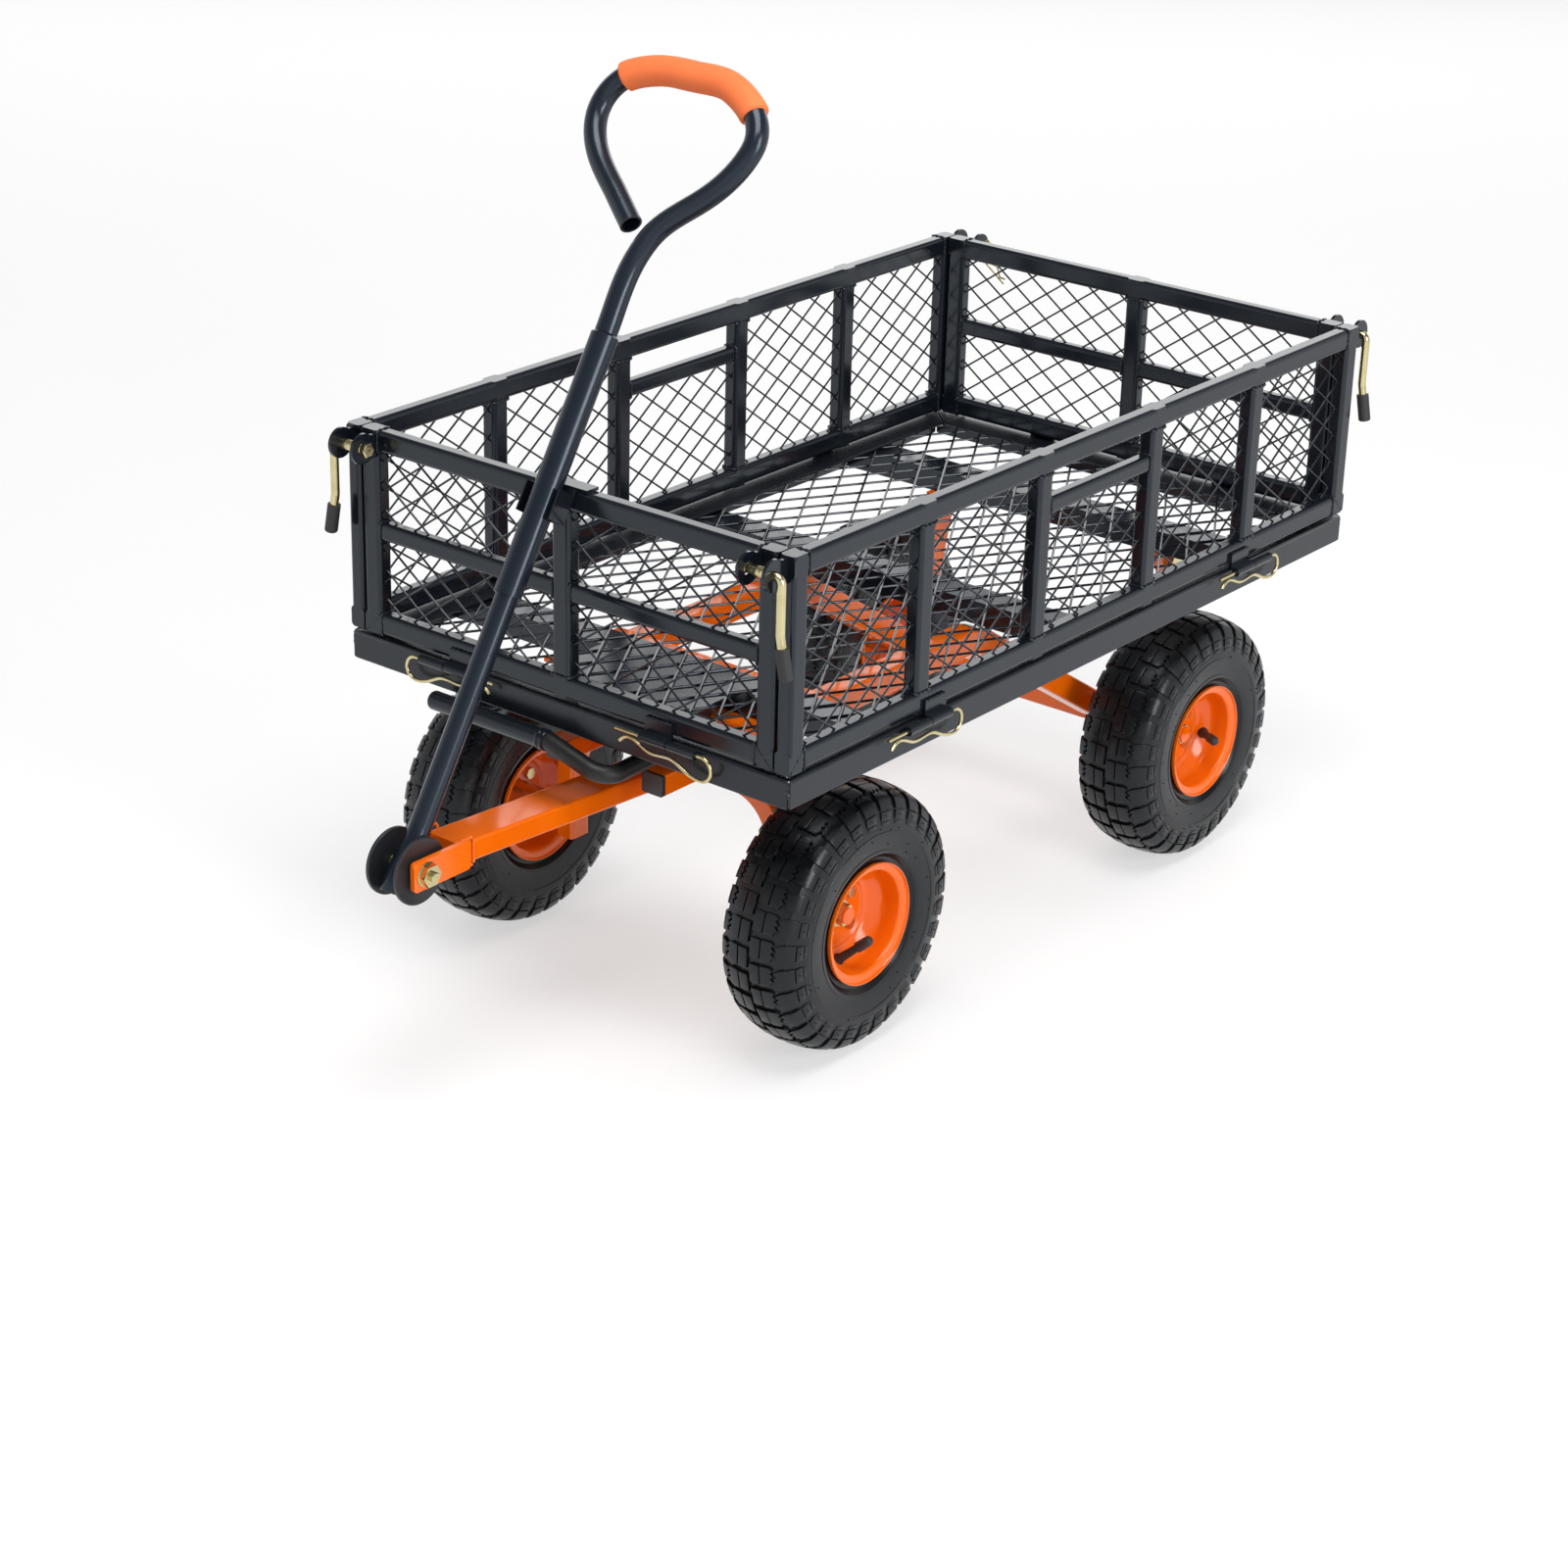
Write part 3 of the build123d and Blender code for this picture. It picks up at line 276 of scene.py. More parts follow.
def new_finish(name, colours, gloss_range, skin, bump, dust, metallic=0.0, **shader):
    """A material whose tone, roughness, dust and bump come from the shared groups."""
    group, scales = skin
    skin_output, tone_output = SKIN_OUTPUTS[group.name]
    finish = bpy.data.materials.new(name)
    finish.use_nodes = True
    tree = finish.node_tree
    body = tree.nodes["Principled BSDF"]
    body.inputs["Metallic"].default_value = metallic
    for key, value in shader.items():
        body.inputs[key.replace("_", " ")].default_value = value
    surface = place_group(tree, group, **scales)
    tone = add_node(tree, "ShaderNodeMix", data_type="RGBA")
    tone.inputs[6].default_value = linear(*colours[0])
    tone.inputs[7].default_value = linear(*colours[1])
    dusty = add_node(tree, "ShaderNodeMix", data_type="RGBA")
    dusty.inputs[7].default_value = DUST_COLOUR
    film = place_group(tree, settled_dust, Amount=dust)
    gloss = add_node(tree, "ShaderNodeMapRange")
    gloss.inputs["From Min"].default_value = 0.3
    gloss.inputs["From Max"].default_value = 0.7
    gloss.inputs["To Min"].default_value = gloss_range[0]
    gloss.inputs["To Max"].default_value = gloss_range[1]
    relief = add_node(tree, "ShaderNodeBump", Strength=bump[0], Distance=bump[1])
    tree.links.new(surface.outputs[tone_output], tone.inputs[0])
    tree.links.new(tone.outputs[2], dusty.inputs[6])
    tree.links.new(film.outputs["Dust"], dusty.inputs[0])
    tree.links.new(dusty.outputs[2], body.inputs["Base Color"])
    tree.links.new(surface.outputs[tone_output], gloss.inputs["Value"])
    tree.links.new(gloss.outputs["Result"], body.inputs["Roughness"])
    tree.links.new(surface.outputs[skin_output], relief.inputs["Height"])
    tree.links.new(relief.outputs["Normal"], body.inputs["Normal"])
    return finish


spray = (sprayed_coat, {})
plating = (sprayed_coat, {"Drift_Scale": 60.0})
mould = (moulded_skin, {})
tyre_mould = (moulded_skin, {"Cell_Scale": 700.0})
foam_cells = (moulded_skin, {"Cell_Scale": 1300.0})
COOL_SHINE = (0.84, 0.92, 1.0, 1.0)
finishes = {
    "frame_paint": new_finish(
        "anthracite_paint", ((15, 19, 25), (21, 26, 34)), (0.13, 0.19), spray, (0.02, 0.0004), 0.02,
        Specular_Tint=COOL_SHINE),
    "orange_paint": new_finish(
        "orange_enamel", ((238, 98, 2), (248, 114, 6)), (0.08, 0.15), spray, (0.04, 0.0004), 0.02),
    "yellow_zinc": new_finish(
        "yellow_zinc", ((192, 174, 110), (226, 219, 186)), (0.15, 0.28), plating, (0.1, 0.0003), 0.0,
        metallic=1.0),
    "tyre_rubber": new_finish(
        "tyre_rubber", ((9, 10, 12), (16, 17, 20)), (0.24, 0.36), tyre_mould, (0.06, 0.0004), 0.03,
        Specular_Tint=(0.9, 0.95, 1.0, 1.0), Specular_IOR_Level=0.38),
    "soft_rubber": new_finish(
        "soft_rubber", ((34, 34, 36), (46, 46, 48)), (0.5, 0.65), mould, (0.1, 0.0003), 0.03),
    "black_plastic": new_finish(
        "black_plastic", ((30, 31, 34), (40, 42, 46)), (0.3, 0.42), mould, (0.06, 0.0002), 0.03),
    "foam_grip": new_finish(
        "foam_grip", ((247, 116, 56), (252, 130, 74)), (0.72, 0.85), foam_cells, (0.25, 0.0004), 0.0),
    "satin_black": new_finish(
        "satin_black", ((9, 10, 11), (13, 14, 15)), (0.42, 0.52), spray, (0.04, 0.0004), 0.02),
    "handle_satin": new_finish(
        "handle_satin", ((19, 24, 33), (27, 33, 44)), (0.18, 0.26), spray, (0.03, 0.0004), 0.01,
        Specular_Tint=(0.78, 0.89, 1.0, 1.0)),
    "beam_satin": new_finish(
        "beam_satin", ((15, 18, 23), (20, 24, 31)), (0.24, 0.32), spray, (0.03, 0.0004), 0.02,
        Specular_Tint=COOL_SHINE),
}
own_finish = {
    "release_lever": "satin_black", "side_beams": "beam_satin", "end_beams": "beam_satin",
    "handle_lower_tube": "handle_satin", "handle_sleeve": "handle_satin", "handle_loop": "handle_satin",
}
for subpart in frame["record"]["subparts"]:
    shown = cad[subpart["node"]]
    shown.data.materials.clear()
    shown.data.materials.append(finishes[own_finish.get(subpart["node"], subpart["material_slot"])])
print("finishes", len(finishes))

# %% [markdown]
# The floor is a sheet of white studio paper. A plain white sheet renders grey, because no floor gets as
# much light as a lamp gives. So, where the camera or a mirror-like surface looks at it, the sheet is
# part paper and part glow: it reads as white and keeps a soft shadow. All other light meets plain
# paper, so the cart isn't lit by the glow.

# %% Paper floor
PAPER_SHARE = 0.5
GLOW_SHARE = 0.55
paper_fibre = (moulded_skin, {"Cloud_Scale": 1.2})
paper = new_finish(
    "pale_floor", ((243, 243, 243), (247, 247, 247)), (0.85, 0.95), paper_fibre, (0.02, 0.0002), 0.0)
tree = paper.node_tree
sheet = tree.nodes["Principled BSDF"]
rays = add_node(tree, "ShaderNodeLightPath")
looked_at = add_node(tree, "ShaderNodeMath", operation="ADD", use_clamp=True)
seen = add_node(tree, "ShaderNodeMath", operation="ADD", use_clamp=True)
glow = add_node(tree, "ShaderNodeMath", operation="MULTIPLY")
glow.inputs[1].default_value = GLOW_SHARE
shade = add_node(tree, "ShaderNodeMix", data_type="RGBA")
shade.inputs[7].default_value = (PAPER_SHARE, PAPER_SHARE, PAPER_SHARE, 1.0)
tree.links.new(rays.outputs["Is Camera Ray"], looked_at.inputs[0])
tree.links.new(rays.outputs["Is Glossy Ray"], looked_at.inputs[1])
tree.links.new(looked_at.outputs["Value"], seen.inputs[0])
tree.links.new(rays.outputs["Is Transmission Ray"], seen.inputs[1])
tree.links.new(seen.outputs["Value"], glow.inputs[0])
tree.links.new(glow.outputs["Value"], sheet.inputs["Emission Strength"])
tree.links.new(sheet.inputs["Base Color"].links[0].from_socket, shade.inputs[6])
tree.links.new(seen.outputs["Value"], shade.inputs[0])
tree.links.new(shade.outputs[2], sheet.inputs["Base Color"])
sheet.inputs["Emission Color"].default_value = (1.0, 1.0, 1.0, 1.0)
floor_mesh.materials.append(paper)
print("floor", paper.name)

# %% [markdown]
# Cut plates and bolts have a small broken edge that catches the light.
# The frame's CAD meshes stay as they are; a Weld and a Bevel modifier on top give them that edge.

# %% Broken edges on plates
def break_edges(node, width):
    """A small bevel on the sharp edges of a CAD node."""
    weld = cad[node].modifiers.new("weld", "WELD")
    weld.merge_threshold = 0.00001
    bevel = cad[node].modifiers.new("broken_edge", "BEVEL")
    bevel.width = width * MM
    bevel.segments = 2
    bevel.limit_method = "ANGLE"
    bevel.angle_limit = math.radians(50)
    bevel.harden_normals = True
    bevel.use_clamp_overlap = True


broken_edges = {
    "fork_plates": 0.8, "rear_uprights": 0.8, "turntable_base": 0.8, "turntable_top_plate": 0.8,
    "steering_rails": 0.8, "rail_end_caps": 0.8, "chassis_fasteners": 0.5, "steering_fasteners": 0.5,
    "handle_saddle": 0.5, "cross_members": 0.5, "side_beams": 1.8, "end_beams": 1.8,
}
for node, width in broken_edges.items():
    break_edges(node, width)
print("plates with broken edges", len(broken_edges))

# %% [markdown]
# Most added pieces are turned, swept or laid along a line, so three mesh helpers do nearly all the
# work. The last two turn a finished mesh into a piece: smooth faces, sharp corners kept, a finish, and
# the body it rides on.

# %% Mesh helpers
def smooth_line(points, steps, before=None, after=None):
    """Points along a smooth curve through the given points, with optional guides beyond its ends."""
    pts = [Vector(p) for p in points]
    pts.insert(0, Vector(before) if before else 2 * pts[0] - pts[1])
    pts.append(Vector(after) if after else 2 * pts[-1] - pts[-2])
    line = []
    for p0, p1, p2, p3 in zip(pts, pts[1:], pts[2:], pts[3:]):
        for k in range(steps):
            s = k / steps
            line.append(0.5 * (2 * p1 + (p2 - p0) * s + (2 * p0 - 5 * p1 + 4 * p2 - p3) * s * s
                               + (3 * p1 - p0 - 3 * p2 + p3) * s ** 3))
    return line + [pts[-2]]


def sweep(bm, path, radius, sides=10, closed=False):
    """A round tube along a list of points. The radius is one number or one for each point."""
    count = len(path)
    radii = radius if isinstance(radius, list) else [radius] * count
    side = None
    rings = []
    for i, point in enumerate(path):
        ahead = path[(i + 1) % count] if closed or i < count - 1 else path[i]
        behind = path[i - 1] if closed or i > 0 else path[i]
        along = (ahead - behind).normalized()
        side = along.orthogonal() if side is None else side
        side = (side - along * side.dot(along)).normalized()
        across = along.cross(side)
        turns = [2 * math.pi * k / sides for k in range(sides)]
        spokes = [math.cos(a) * side + math.sin(a) * across for a in turns]
        rings.append([bm.verts.new(point + radii[i] * spoke) for spoke in spokes])
    for i in range(count if closed else count - 1):
        here, there = rings[i], rings[(i + 1) % count]
        for k in range(sides):
            bm.faces.new((here[k], here[(k + 1) % sides], there[(k + 1) % sides], there[k]))
    if not closed:
        bm.faces.new(list(reversed(rings[0])))
        bm.faces.new(rings[-1])


def lathe(bm, profile, steps):
    """A closed outline of (radius, offset) points, in millimetres, turned about the Y axis."""
    rings = []
    for k in range(steps):
        a = 2 * math.pi * k / steps
        ring = [(r * math.cos(a) * MM, t * MM, r * math.sin(a) * MM) for r, t in profile]
        rings.append([bm.verts.new(point) for point in ring])
    for k in range(steps):
        here, there = rings[k], rings[(k + 1) % steps]
        for i in range(len(profile)):
            j = (i + 1) % len(profile)
            bm.faces.new((here[i], here[j], there[j], there[i]))


def mesh_from(bm, name, finish, sharp=38):
    """A mesh with smooth faces, whose corners over an angle stay sharp."""
    bmesh.ops.recalc_face_normals(bm, faces=bm.faces)
    for face in bm.faces:
        face.smooth = True
    for edge in bm.edges:
        edge.smooth = len(edge.link_faces) == 2 and edge.calc_face_angle(0.0) < math.radians(sharp)
    mesh = bpy.data.meshes.new(name)
    bm.to_mesh(mesh)
    bm.free()
    mesh.materials.append(finishes[finish])
    return mesh


def piece(name, mesh, body, finish, *stands_for, at=(0, 0, 0), turn=0.0):
    """A mesh placed in the scene, turned about its Y axis, that rides on a body."""
    obj = bpy.data.objects.new(name, mesh)
    obj.location = at
    obj.rotation_euler.y = turn
    scene.collection.objects.link(obj)
    bpy.context.view_layer.update()
    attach(obj, body)
    if stands_for:
        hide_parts(*stands_for)
    return obj


print("mesh helpers ready")

# %% [markdown]
# The nets are steel wires laid in two slanted layers and welded where they cross. A picture of holes
# would look flat, so each wire is a thin tube that ends in a blob of weld on the frame.

# %% Wire nets
X_AXIS, Y_AXIS, Z_AXIS = Vector((1, 0, 0)), Vector((0, 1, 0)), Vector((0, 0, 1))
SIDE_PANEL_Y = 247.0
END_PANEL_X = 437.0
PANEL_WIRE = {"pitch_along": 38.8, "pitch_up": 27.5, "radius": 1.0, "layer": 0.85}
DECK_WIRE = {"pitch_along": 50.0, "pitch_up": 30.0, "radius": 1.25, "layer": 0.6}
TUCK = 3.0
SHORTEST_WIRE = 8.0
WIRE_SIDES = 8
BLOB_SIDES = 6


def lay_wires(bm, middle, axes, size, pitch_along, pitch_up, radius, layer):
    """Two layers of slanted wires over a rectangle, with their ends tucked into its border."""
    along, up, out = axes
    half_w, half_h = size[0] / 2 + TUCK, size[1] / 2 + TUCK
    count = int((half_w * pitch_up / pitch_along + half_h) / pitch_up) + 2
    made = 0
    for slant in (1, -1):
        rise = slant * pitch_up / pitch_along
        for k in range(-count, count + 1):
            start = (k + 0.5) * pitch_up
            ends = []
            for u in (-half_w, half_w):
                if abs(start + rise * u) <= half_h:
                    ends.append((u, start + rise * u))
            for v in (-half_h, half_h):
                if abs((v - start) / rise) < half_w:
                    ends.append(((v - start) / rise, v))
            if len(ends) < 2 or (Vector(ends[0]) - Vector(ends[1])).length < SHORTEST_WIRE:
                continue
            a, b = [middle + (along * u + up * v + out * (layer * slant)) * MM for u, v in ends[:2]]
            sweep(bm, [a, b], radius * MM, WIRE_SIDES)
            toward = (b - a).normalized() * MM
            for end, sign in ((a, 1), (b, -1)):
                foot = end + toward * sign * (TUCK - 0.4)
                blob = [foot - toward * 1.6, foot, foot + toward * 1.8]
                sweep(bm, blob, [1.0 * MM, 1.6 * MM, radius * MM], BLOB_SIDES)
            made += 1
    return made


side_bays = [
    (348.5, 153.0, 418.5, 153.0), (175.5, 153.0, 418.5, 153.0), (0.0, 158.0, 398.5, 113.0),
    (-175.5, 153.0, 418.5, 153.0), (-348.5, 153.0, 418.5, 153.0),
]
for side, y in (("left", SIDE_PANEL_Y), ("right", -SIDE_PANEL_Y)):
    bm = bmesh.new()
    total = 0
    for x, width, z, height in side_bays:
        total += lay_wires(bm, spot(x, y, z), (X_AXIS, Z_AXIS, Y_AXIS), (width, height), **PANEL_WIRE)
    mesh = mesh_from(bm, f"{side}_net_wires", "frame_paint")
    piece(f"{side}_net_wires", mesh, f"{side}_panel", "frame_paint", f"{side}_panel_mesh")
    print(side, "side net wires", total)

END_BAY_Y = 113.5
END_BAY_WIDTH = 207.0
end_bay_rows = [(377.0, 70.0), (462.0, 66.0)]
for end, x in (("front", END_PANEL_X), ("rear", -END_PANEL_X)):
    bm = bmesh.new()
    total = 0
    for y in (END_BAY_Y, -END_BAY_Y):
        for z, height in end_bay_rows:
            size = (END_BAY_WIDTH, height)
            total += lay_wires(bm, spot(x, y, z), (Y_AXIS, Z_AXIS, X_AXIS), size, **PANEL_WIRE)
    mesh = mesh_from(bm, f"{end}_net_wires", "frame_paint")
    piece(f"{end}_net_wires", mesh, "bed", "frame_paint", f"{end}_panel_mesh")
    print(end, "net wires", total)

bm = bmesh.new()
total = lay_wires(bm, spot(0, 0, 315.1), (X_AXIS, Y_AXIS, Z_AXIS), (876.0, 496.0), **DECK_WIRE)
piece("deck_wires", mesh_from(bm, "deck_wires", "frame_paint"), "bed", "frame_paint", "deck_mesh")
print("deck wires", total)

# %% [markdown]
# The tyre is a block tread on a round carcass. Its outline is read by the distance from the crown, so a
# block can be described the way a tread designer would: how far round the tyre, and how far out from
# the crown.

# %% Tyre outline
OUTLINE_STEPS = 14
crown_guide = (122.6, -17.0)
outline_points = [
    (124.0, 0.0), (122.6, 17.0), (117.5, 33.0), (108.0, 39.2), (95.0, 41.0), (80.0, 40.6), (66.0, 38.2),
    (60.5, 33.6),
]
tyre_outline = smooth_line(outline_points, OUTLINE_STEPS, before=crown_guide)
reach = [0.0]
for a, b in zip(tyre_outline, tyre_outline[1:]):
    reach.append(reach[-1] + (b - a).length)


def on_tyre(distance, sink=0.0):
    """Radius and offset at a distance out from the crown, sunk below the surface."""
    d = min(abs(distance), reach[-1] - 0.001)
    i = max(k for k in range(len(reach) - 1) if reach[k] <= d)
    a, b = tyre_outline[i], tyre_outline[i + 1]
    p = a + (b - a) * ((d - reach[i]) / (reach[i + 1] - reach[i]))
    run = (b - a).normalized()
    r = p.x - sink * run.y
    t = p.y + sink * run.x
    return r, t if distance >= 0 else -t


print("crown to bead", round(reach[-1], 1), "mm")

# %% [markdown]
# Each pitch of the tread is one bar, cut by slits into a crown block, a second block, a shoulder lug
# and two thin steps down the wall. The slit before the lug is toothed. The other half of the tyre is
# set half a pitch on. A block is a small closed grid that follows the outline and stands in the
# carcass, with its rim slightly broken.

# %% Tyre mesh
PITCHES = 31
HALVES = ((1, 0.0), (-1, 0.5))
LOOSE_VENTS = 56
CARCASS_STEPS = 124
pitch = 2 * math.pi / PITCHES


def round_tyre(r, t, angle):
    """A point at a radius, an offset and an angle about the axle."""
    return r * math.cos(angle) * MM, t * MM, r * math.sin(angle) * MM


def tread_block(bm, stations, height, across):
    """A block over (angle, inner distance, outer distance) stations. Returns its rim edges."""
    top, low = [], []
    for angle, inner, outer in stations:
        for k in range(across + 1):
            distance = inner + (outer - inner) * k / across
            for store, sink in ((top, 0.0), (low, height)):
                store.append(bm.verts.new(round_tyre(*on_tyre(distance, sink), angle)))
    row = across + 1
    last = (len(stations) - 1) * row
    for i in range(len(stations) - 1):
        for k in range(across):
            a, b, c, d = i * row + k, i * row + k + 1, (i + 1) * row + k + 1, (i + 1) * row + k
            bm.faces.new((top[a], top[b], top[c], top[d]))
            bm.faces.new((low[d], low[c], low[b], low[a]))
    rim = [i * row for i in range(len(stations))]
    rim += [last + k for k in range(1, row)]
    rim += [i * row + across for i in range(len(stations) - 2, -1, -1)]
    rim += [k for k in range(across - 1, 0, -1)]
    for a, b in zip(rim, rim[1:] + rim[:1]):
        bm.faces.new((top[a], top[b], low[b], low[a]))
    return [bm.edges.get((top[a], top[b])) for a, b in zip(rim, rim[1:] + rim[:1])]


bars = [
    (6.0, 3, [(0.12, 1.4, 11.4), (0.85, 1.4, 11.4)]),
    (6.0, 3, [(0.09, 12.7, 22.0), (0.21, 12.7, 23.2), (0.33, 12.7, 26.0), (0.44, 12.7, 22.6),
              (0.55, 12.7, 26.0), (0.66, 12.7, 22.6), (0.77, 12.7, 25.0), (0.87, 12.7, 22.0)]),
    (5.4, 4, [(0.14, 33.5, 46.2), (0.22, 26.4, 46.2), (0.34, 28.6, 46.2), (0.45, 25.0, 46.2),
              (0.56, 28.6, 46.2), (0.67, 25.0, 46.2), (0.76, 28.0, 46.2), (0.84, 33.5, 46.2)]),
    (3.4, 2, [(0.14, 47.3, 55.6), (0.80, 47.3, 55.6)]),
    (2.2, 1, [(0.17, 56.6, 60.0), (0.76, 56.6, 60.0)]),
]
bm = bmesh.new()
rims = []
for n in range(PITCHES):
    for height, across, stations in bars:
        for sign, shift in HALVES:
            turned = [((n + a + shift) * pitch, sign * i, sign * o) for a, i, o in stations]
            rims += tread_block(bm, turned, height, across)
bmesh.ops.bevel(
    bm, geom=rims, offset=0.45 * MM, segments=2, profile=0.6, affect="EDGES", clamp_overlap=True)

sinks = [
    (0, 3.0), (10, 3.0), (20, 2.8), (28, 2.4), (36, 2.0), (45, 1.7), (50, 1.4), (55, 1.1), (58, 0.7),
    (61, 0.3), (64, 0.0), (66.2, 0.0), (66.7, -0.5), (68, -0.5), (68.5, 0.0), (74, 0.0), (80, 0.0),
    (84, 0.0), (84.8, -0.7), (88, -0.7), (89, 0.0), (94, 0.0),
]
outer_side = [on_tyre(d, sink) for d, sink in sinks]
inner_side = [
    (50.2, 33.2), (50.2, 26.0), (62.0, 27.0), (85.0, 32.0), (100.0, 30.0), (108.0, 22.0), (111.0, 8.0),
]
half = outer_side + inner_side
lathe(bm, half + [(r, -t) for r, t in reversed(half[1:])], CARCASS_STEPS)

draw = random.Random(4)
vents = []
for n in range(PITCHES):
    for sign, shift in HALVES:
        vents.append(((n + 0.46 + shift) * pitch, sign * 51.6))
for n in range(LOOSE_VENTS):
    angle = draw.uniform(0, 2 * math.pi)
    sign = draw.choice((-1, 1))
    vents.append((angle, sign * draw.uniform(62, 82)))
for angle, distance in vents:
    foot = Vector(round_tyre(*on_tyre(distance, 0.6), angle))
    tip = Vector(round_tyre(*on_tyre(distance, -1.2), angle))
    sweep(bm, [foot, tip], [0.6 * MM, 0.35 * MM], 5)
tyre_mesh = mesh_from(bm, "block_tread_tyre", "tyre_rubber", 34)
print("tyre faces", len(tyre_mesh.polygons))

# %% [markdown]
# The rim is pressed from two steel halves bolted at the middle. Turning one outline gives the dish, the
# barrel that the bead sits on, and the rolled lip, whose soft edge carries the bright line of the
# photograph. The valve stem stands on the cone of the dish and leans towards the axle. It narrows to a
# neck below its cap.

# %% Rim and valve meshes
RIM_STEPS = 112
rim_outline = [
    (13.2, 0.05), (32.0, 0.05), (36.0, 1.5), (48.2, 12.6), (50.0, 16.5), (50.0, 32.2), (50.6, 33.2),
    (52.0, 33.8), (55.4, 34.1), (56.6, 34.7), (57.0, 35.8), (57.1, 38.4), (56.9, 38.9), (56.4, 39.0),
    (56.0, 38.6), (55.7, 37.2), (55.1, 36.3), (54.0, 35.9), (51.2, 35.6), (49.6, 35.0), (48.5, 33.8),
    (48.0, 32.0), (48.0, 20.0), (47.6, 17.4), (46.5, 15.0), (44.6, 12.6), (39.0, 7.2), (37.4, 5.8),
    (36.2, 5.1), (34.8, 4.8), (33.8, 4.4), (33.0, 3.5), (32.0, 2.5), (30.6, 2.05), (13.2, 2.05),
]


def mirrored(outline):
    """The same turned outline on the other side of the middle."""
    return [(r, -t) for r, t in outline]


bm = bmesh.new()
lathe(bm, rim_outline, RIM_STEPS)
lathe(bm, mirrored(rim_outline), RIM_STEPS)
rim_mesh = mesh_from(bm, "pressed_rim", "orange_paint", 32)

cone_foot, cone_slope = (41.9, 10.1), Vector((-0.675, 0.738))
stem_shape = [
    (-0.6, 5.6), (0.8, 5.6), (2.2, 4.7), (5.0, 4.1), (21.6, 3.6), (22.3, 2.5), (24.4, 2.5), (24.9, 4.6),
    (25.8, 5.0), (38.6, 4.8), (40.9, 4.2), (42.3, 3.0), (43.0, 1.4),
]
print("rim faces", len(rim_mesh.polygons))

# %% [markdown]
# All four wheels share one tyre and one rim mesh. Each tyre is set a quarter turn on from the last, and
# each valve has its own angle, as it would on a cart that has been rolled.

# %% Wheels
AXLE_HEIGHT = 124.0
wheel_places = {
    "front_left": (295.0, 194.0, -80.0, 0), "front_right": (295.0, -194.0, 128.0, 1),
    "rear_left": (-253.0, 194.0, 196.0, 2), "rear_right": (-253.0, -194.0, 40.0, 3),
}
for corner, (x, y, valve_angle, quarters) in wheel_places.items():
    side = 1 if y > 0 else -1
    axle, wheel = spot(x, y, AXLE_HEIGHT), f"{corner}_wheel"
    turn = quarters * math.pi / 2
    piece(f"{corner}_block_tyre", tyre_mesh, wheel, "tyre_rubber", f"{corner}_tyre", at=axle, turn=turn)
    piece(f"{corner}_pressed_rim", rim_mesh, wheel, "orange_paint", f"{corner}_rim", at=axle)
    bm = bmesh.new()
    radial = Vector((math.cos(math.radians(valve_angle)), 0, math.sin(math.radians(valve_angle))))
    outward = Y_AXIS * side
    foot = axle + (radial * cone_foot[0] + outward * cone_foot[1]) * MM
    lean = radial * cone_slope.x + outward * cone_slope.y
    sweep(bm, [foot + lean * (h * MM) for h, _ in stem_shape], [r * MM for _, r in stem_shape], 18)
    piece(f"{corner}_valve", mesh_from(bm, f"{corner}_valve", "soft_rubber"), wheel, "soft_rubber")
print("wheels", len(wheel_places))

# %% [markdown]
# Each corner latch is a bent pin through two ears. A slim turned sleeve on the outer ear guides the
# pin, and a small hexagon nut on the pin's end stops it at the inner ear. The sleeve is a turned
# outline, and the nut is another outline turned in only six steps, with its corners eased by the two
# chamfered ends. A spare spring clip hangs against the nut of one rear latch. It is one thin wire, bent
# in a plane just behind the top rail.

# %% Latch sleeves, nuts and the spare clip
LATCH_X, LATCH_Z = 461.0, 502.0
SLEEVE_STEPS = 28
NUT_STEPS = 6
CLIP_X = -454.6
sleeve_outline = [
    (4.2, 228.0), (4.7, 227.6), (5.0, 228.2), (5.0, 234.4), (4.6, 234.8), (4.6, 235.6), (5.1, 236.0),
    (5.1, 244.6), (4.2, 244.6),
]
nut_outline = [(1.5, 210.4), (5.8, 210.4), (6.9, 211.4), (6.9, 216.2), (5.8, 216.95), (1.5, 216.95)]


def turned_pair(name, outline, finish, side, steps):
    """A turned outline at the front latch and the same at the rear one, on one side of the cart."""
    meshes = []
    for end, sign in (("front", 1), ("rear", -1)):
        bm = bmesh.new()
        lathe(bm, [(r, t * side) for r, t in outline], steps)
        bmesh.ops.translate(bm, verts=bm.verts, vec=spot(sign * LATCH_X, 0, LATCH_Z))
        meshes.append(mesh_from(bm, f"{name}_{end}", finish))
    return meshes


for side, sign in (("left", 1), ("right", -1)):
    sleeves = turned_pair(f"{side}_latch_sleeve", sleeve_outline, "yellow_zinc", sign, SLEEVE_STEPS)
    nuts = turned_pair(f"{side}_latch_nut", nut_outline, "yellow_zinc", sign, NUT_STEPS)
    for end, sleeve, nut in zip(("front", "rear"), sleeves, nuts):
        barrels = f"{side}_latch_barrels"
        piece(f"{end}_{side}_latch_sleeve", sleeve, f"{side}_panel", "yellow_zinc", barrels)
        piece(f"{end}_{side}_latch_nut", nut, f"{end}_{side}_latch", "yellow_zinc")

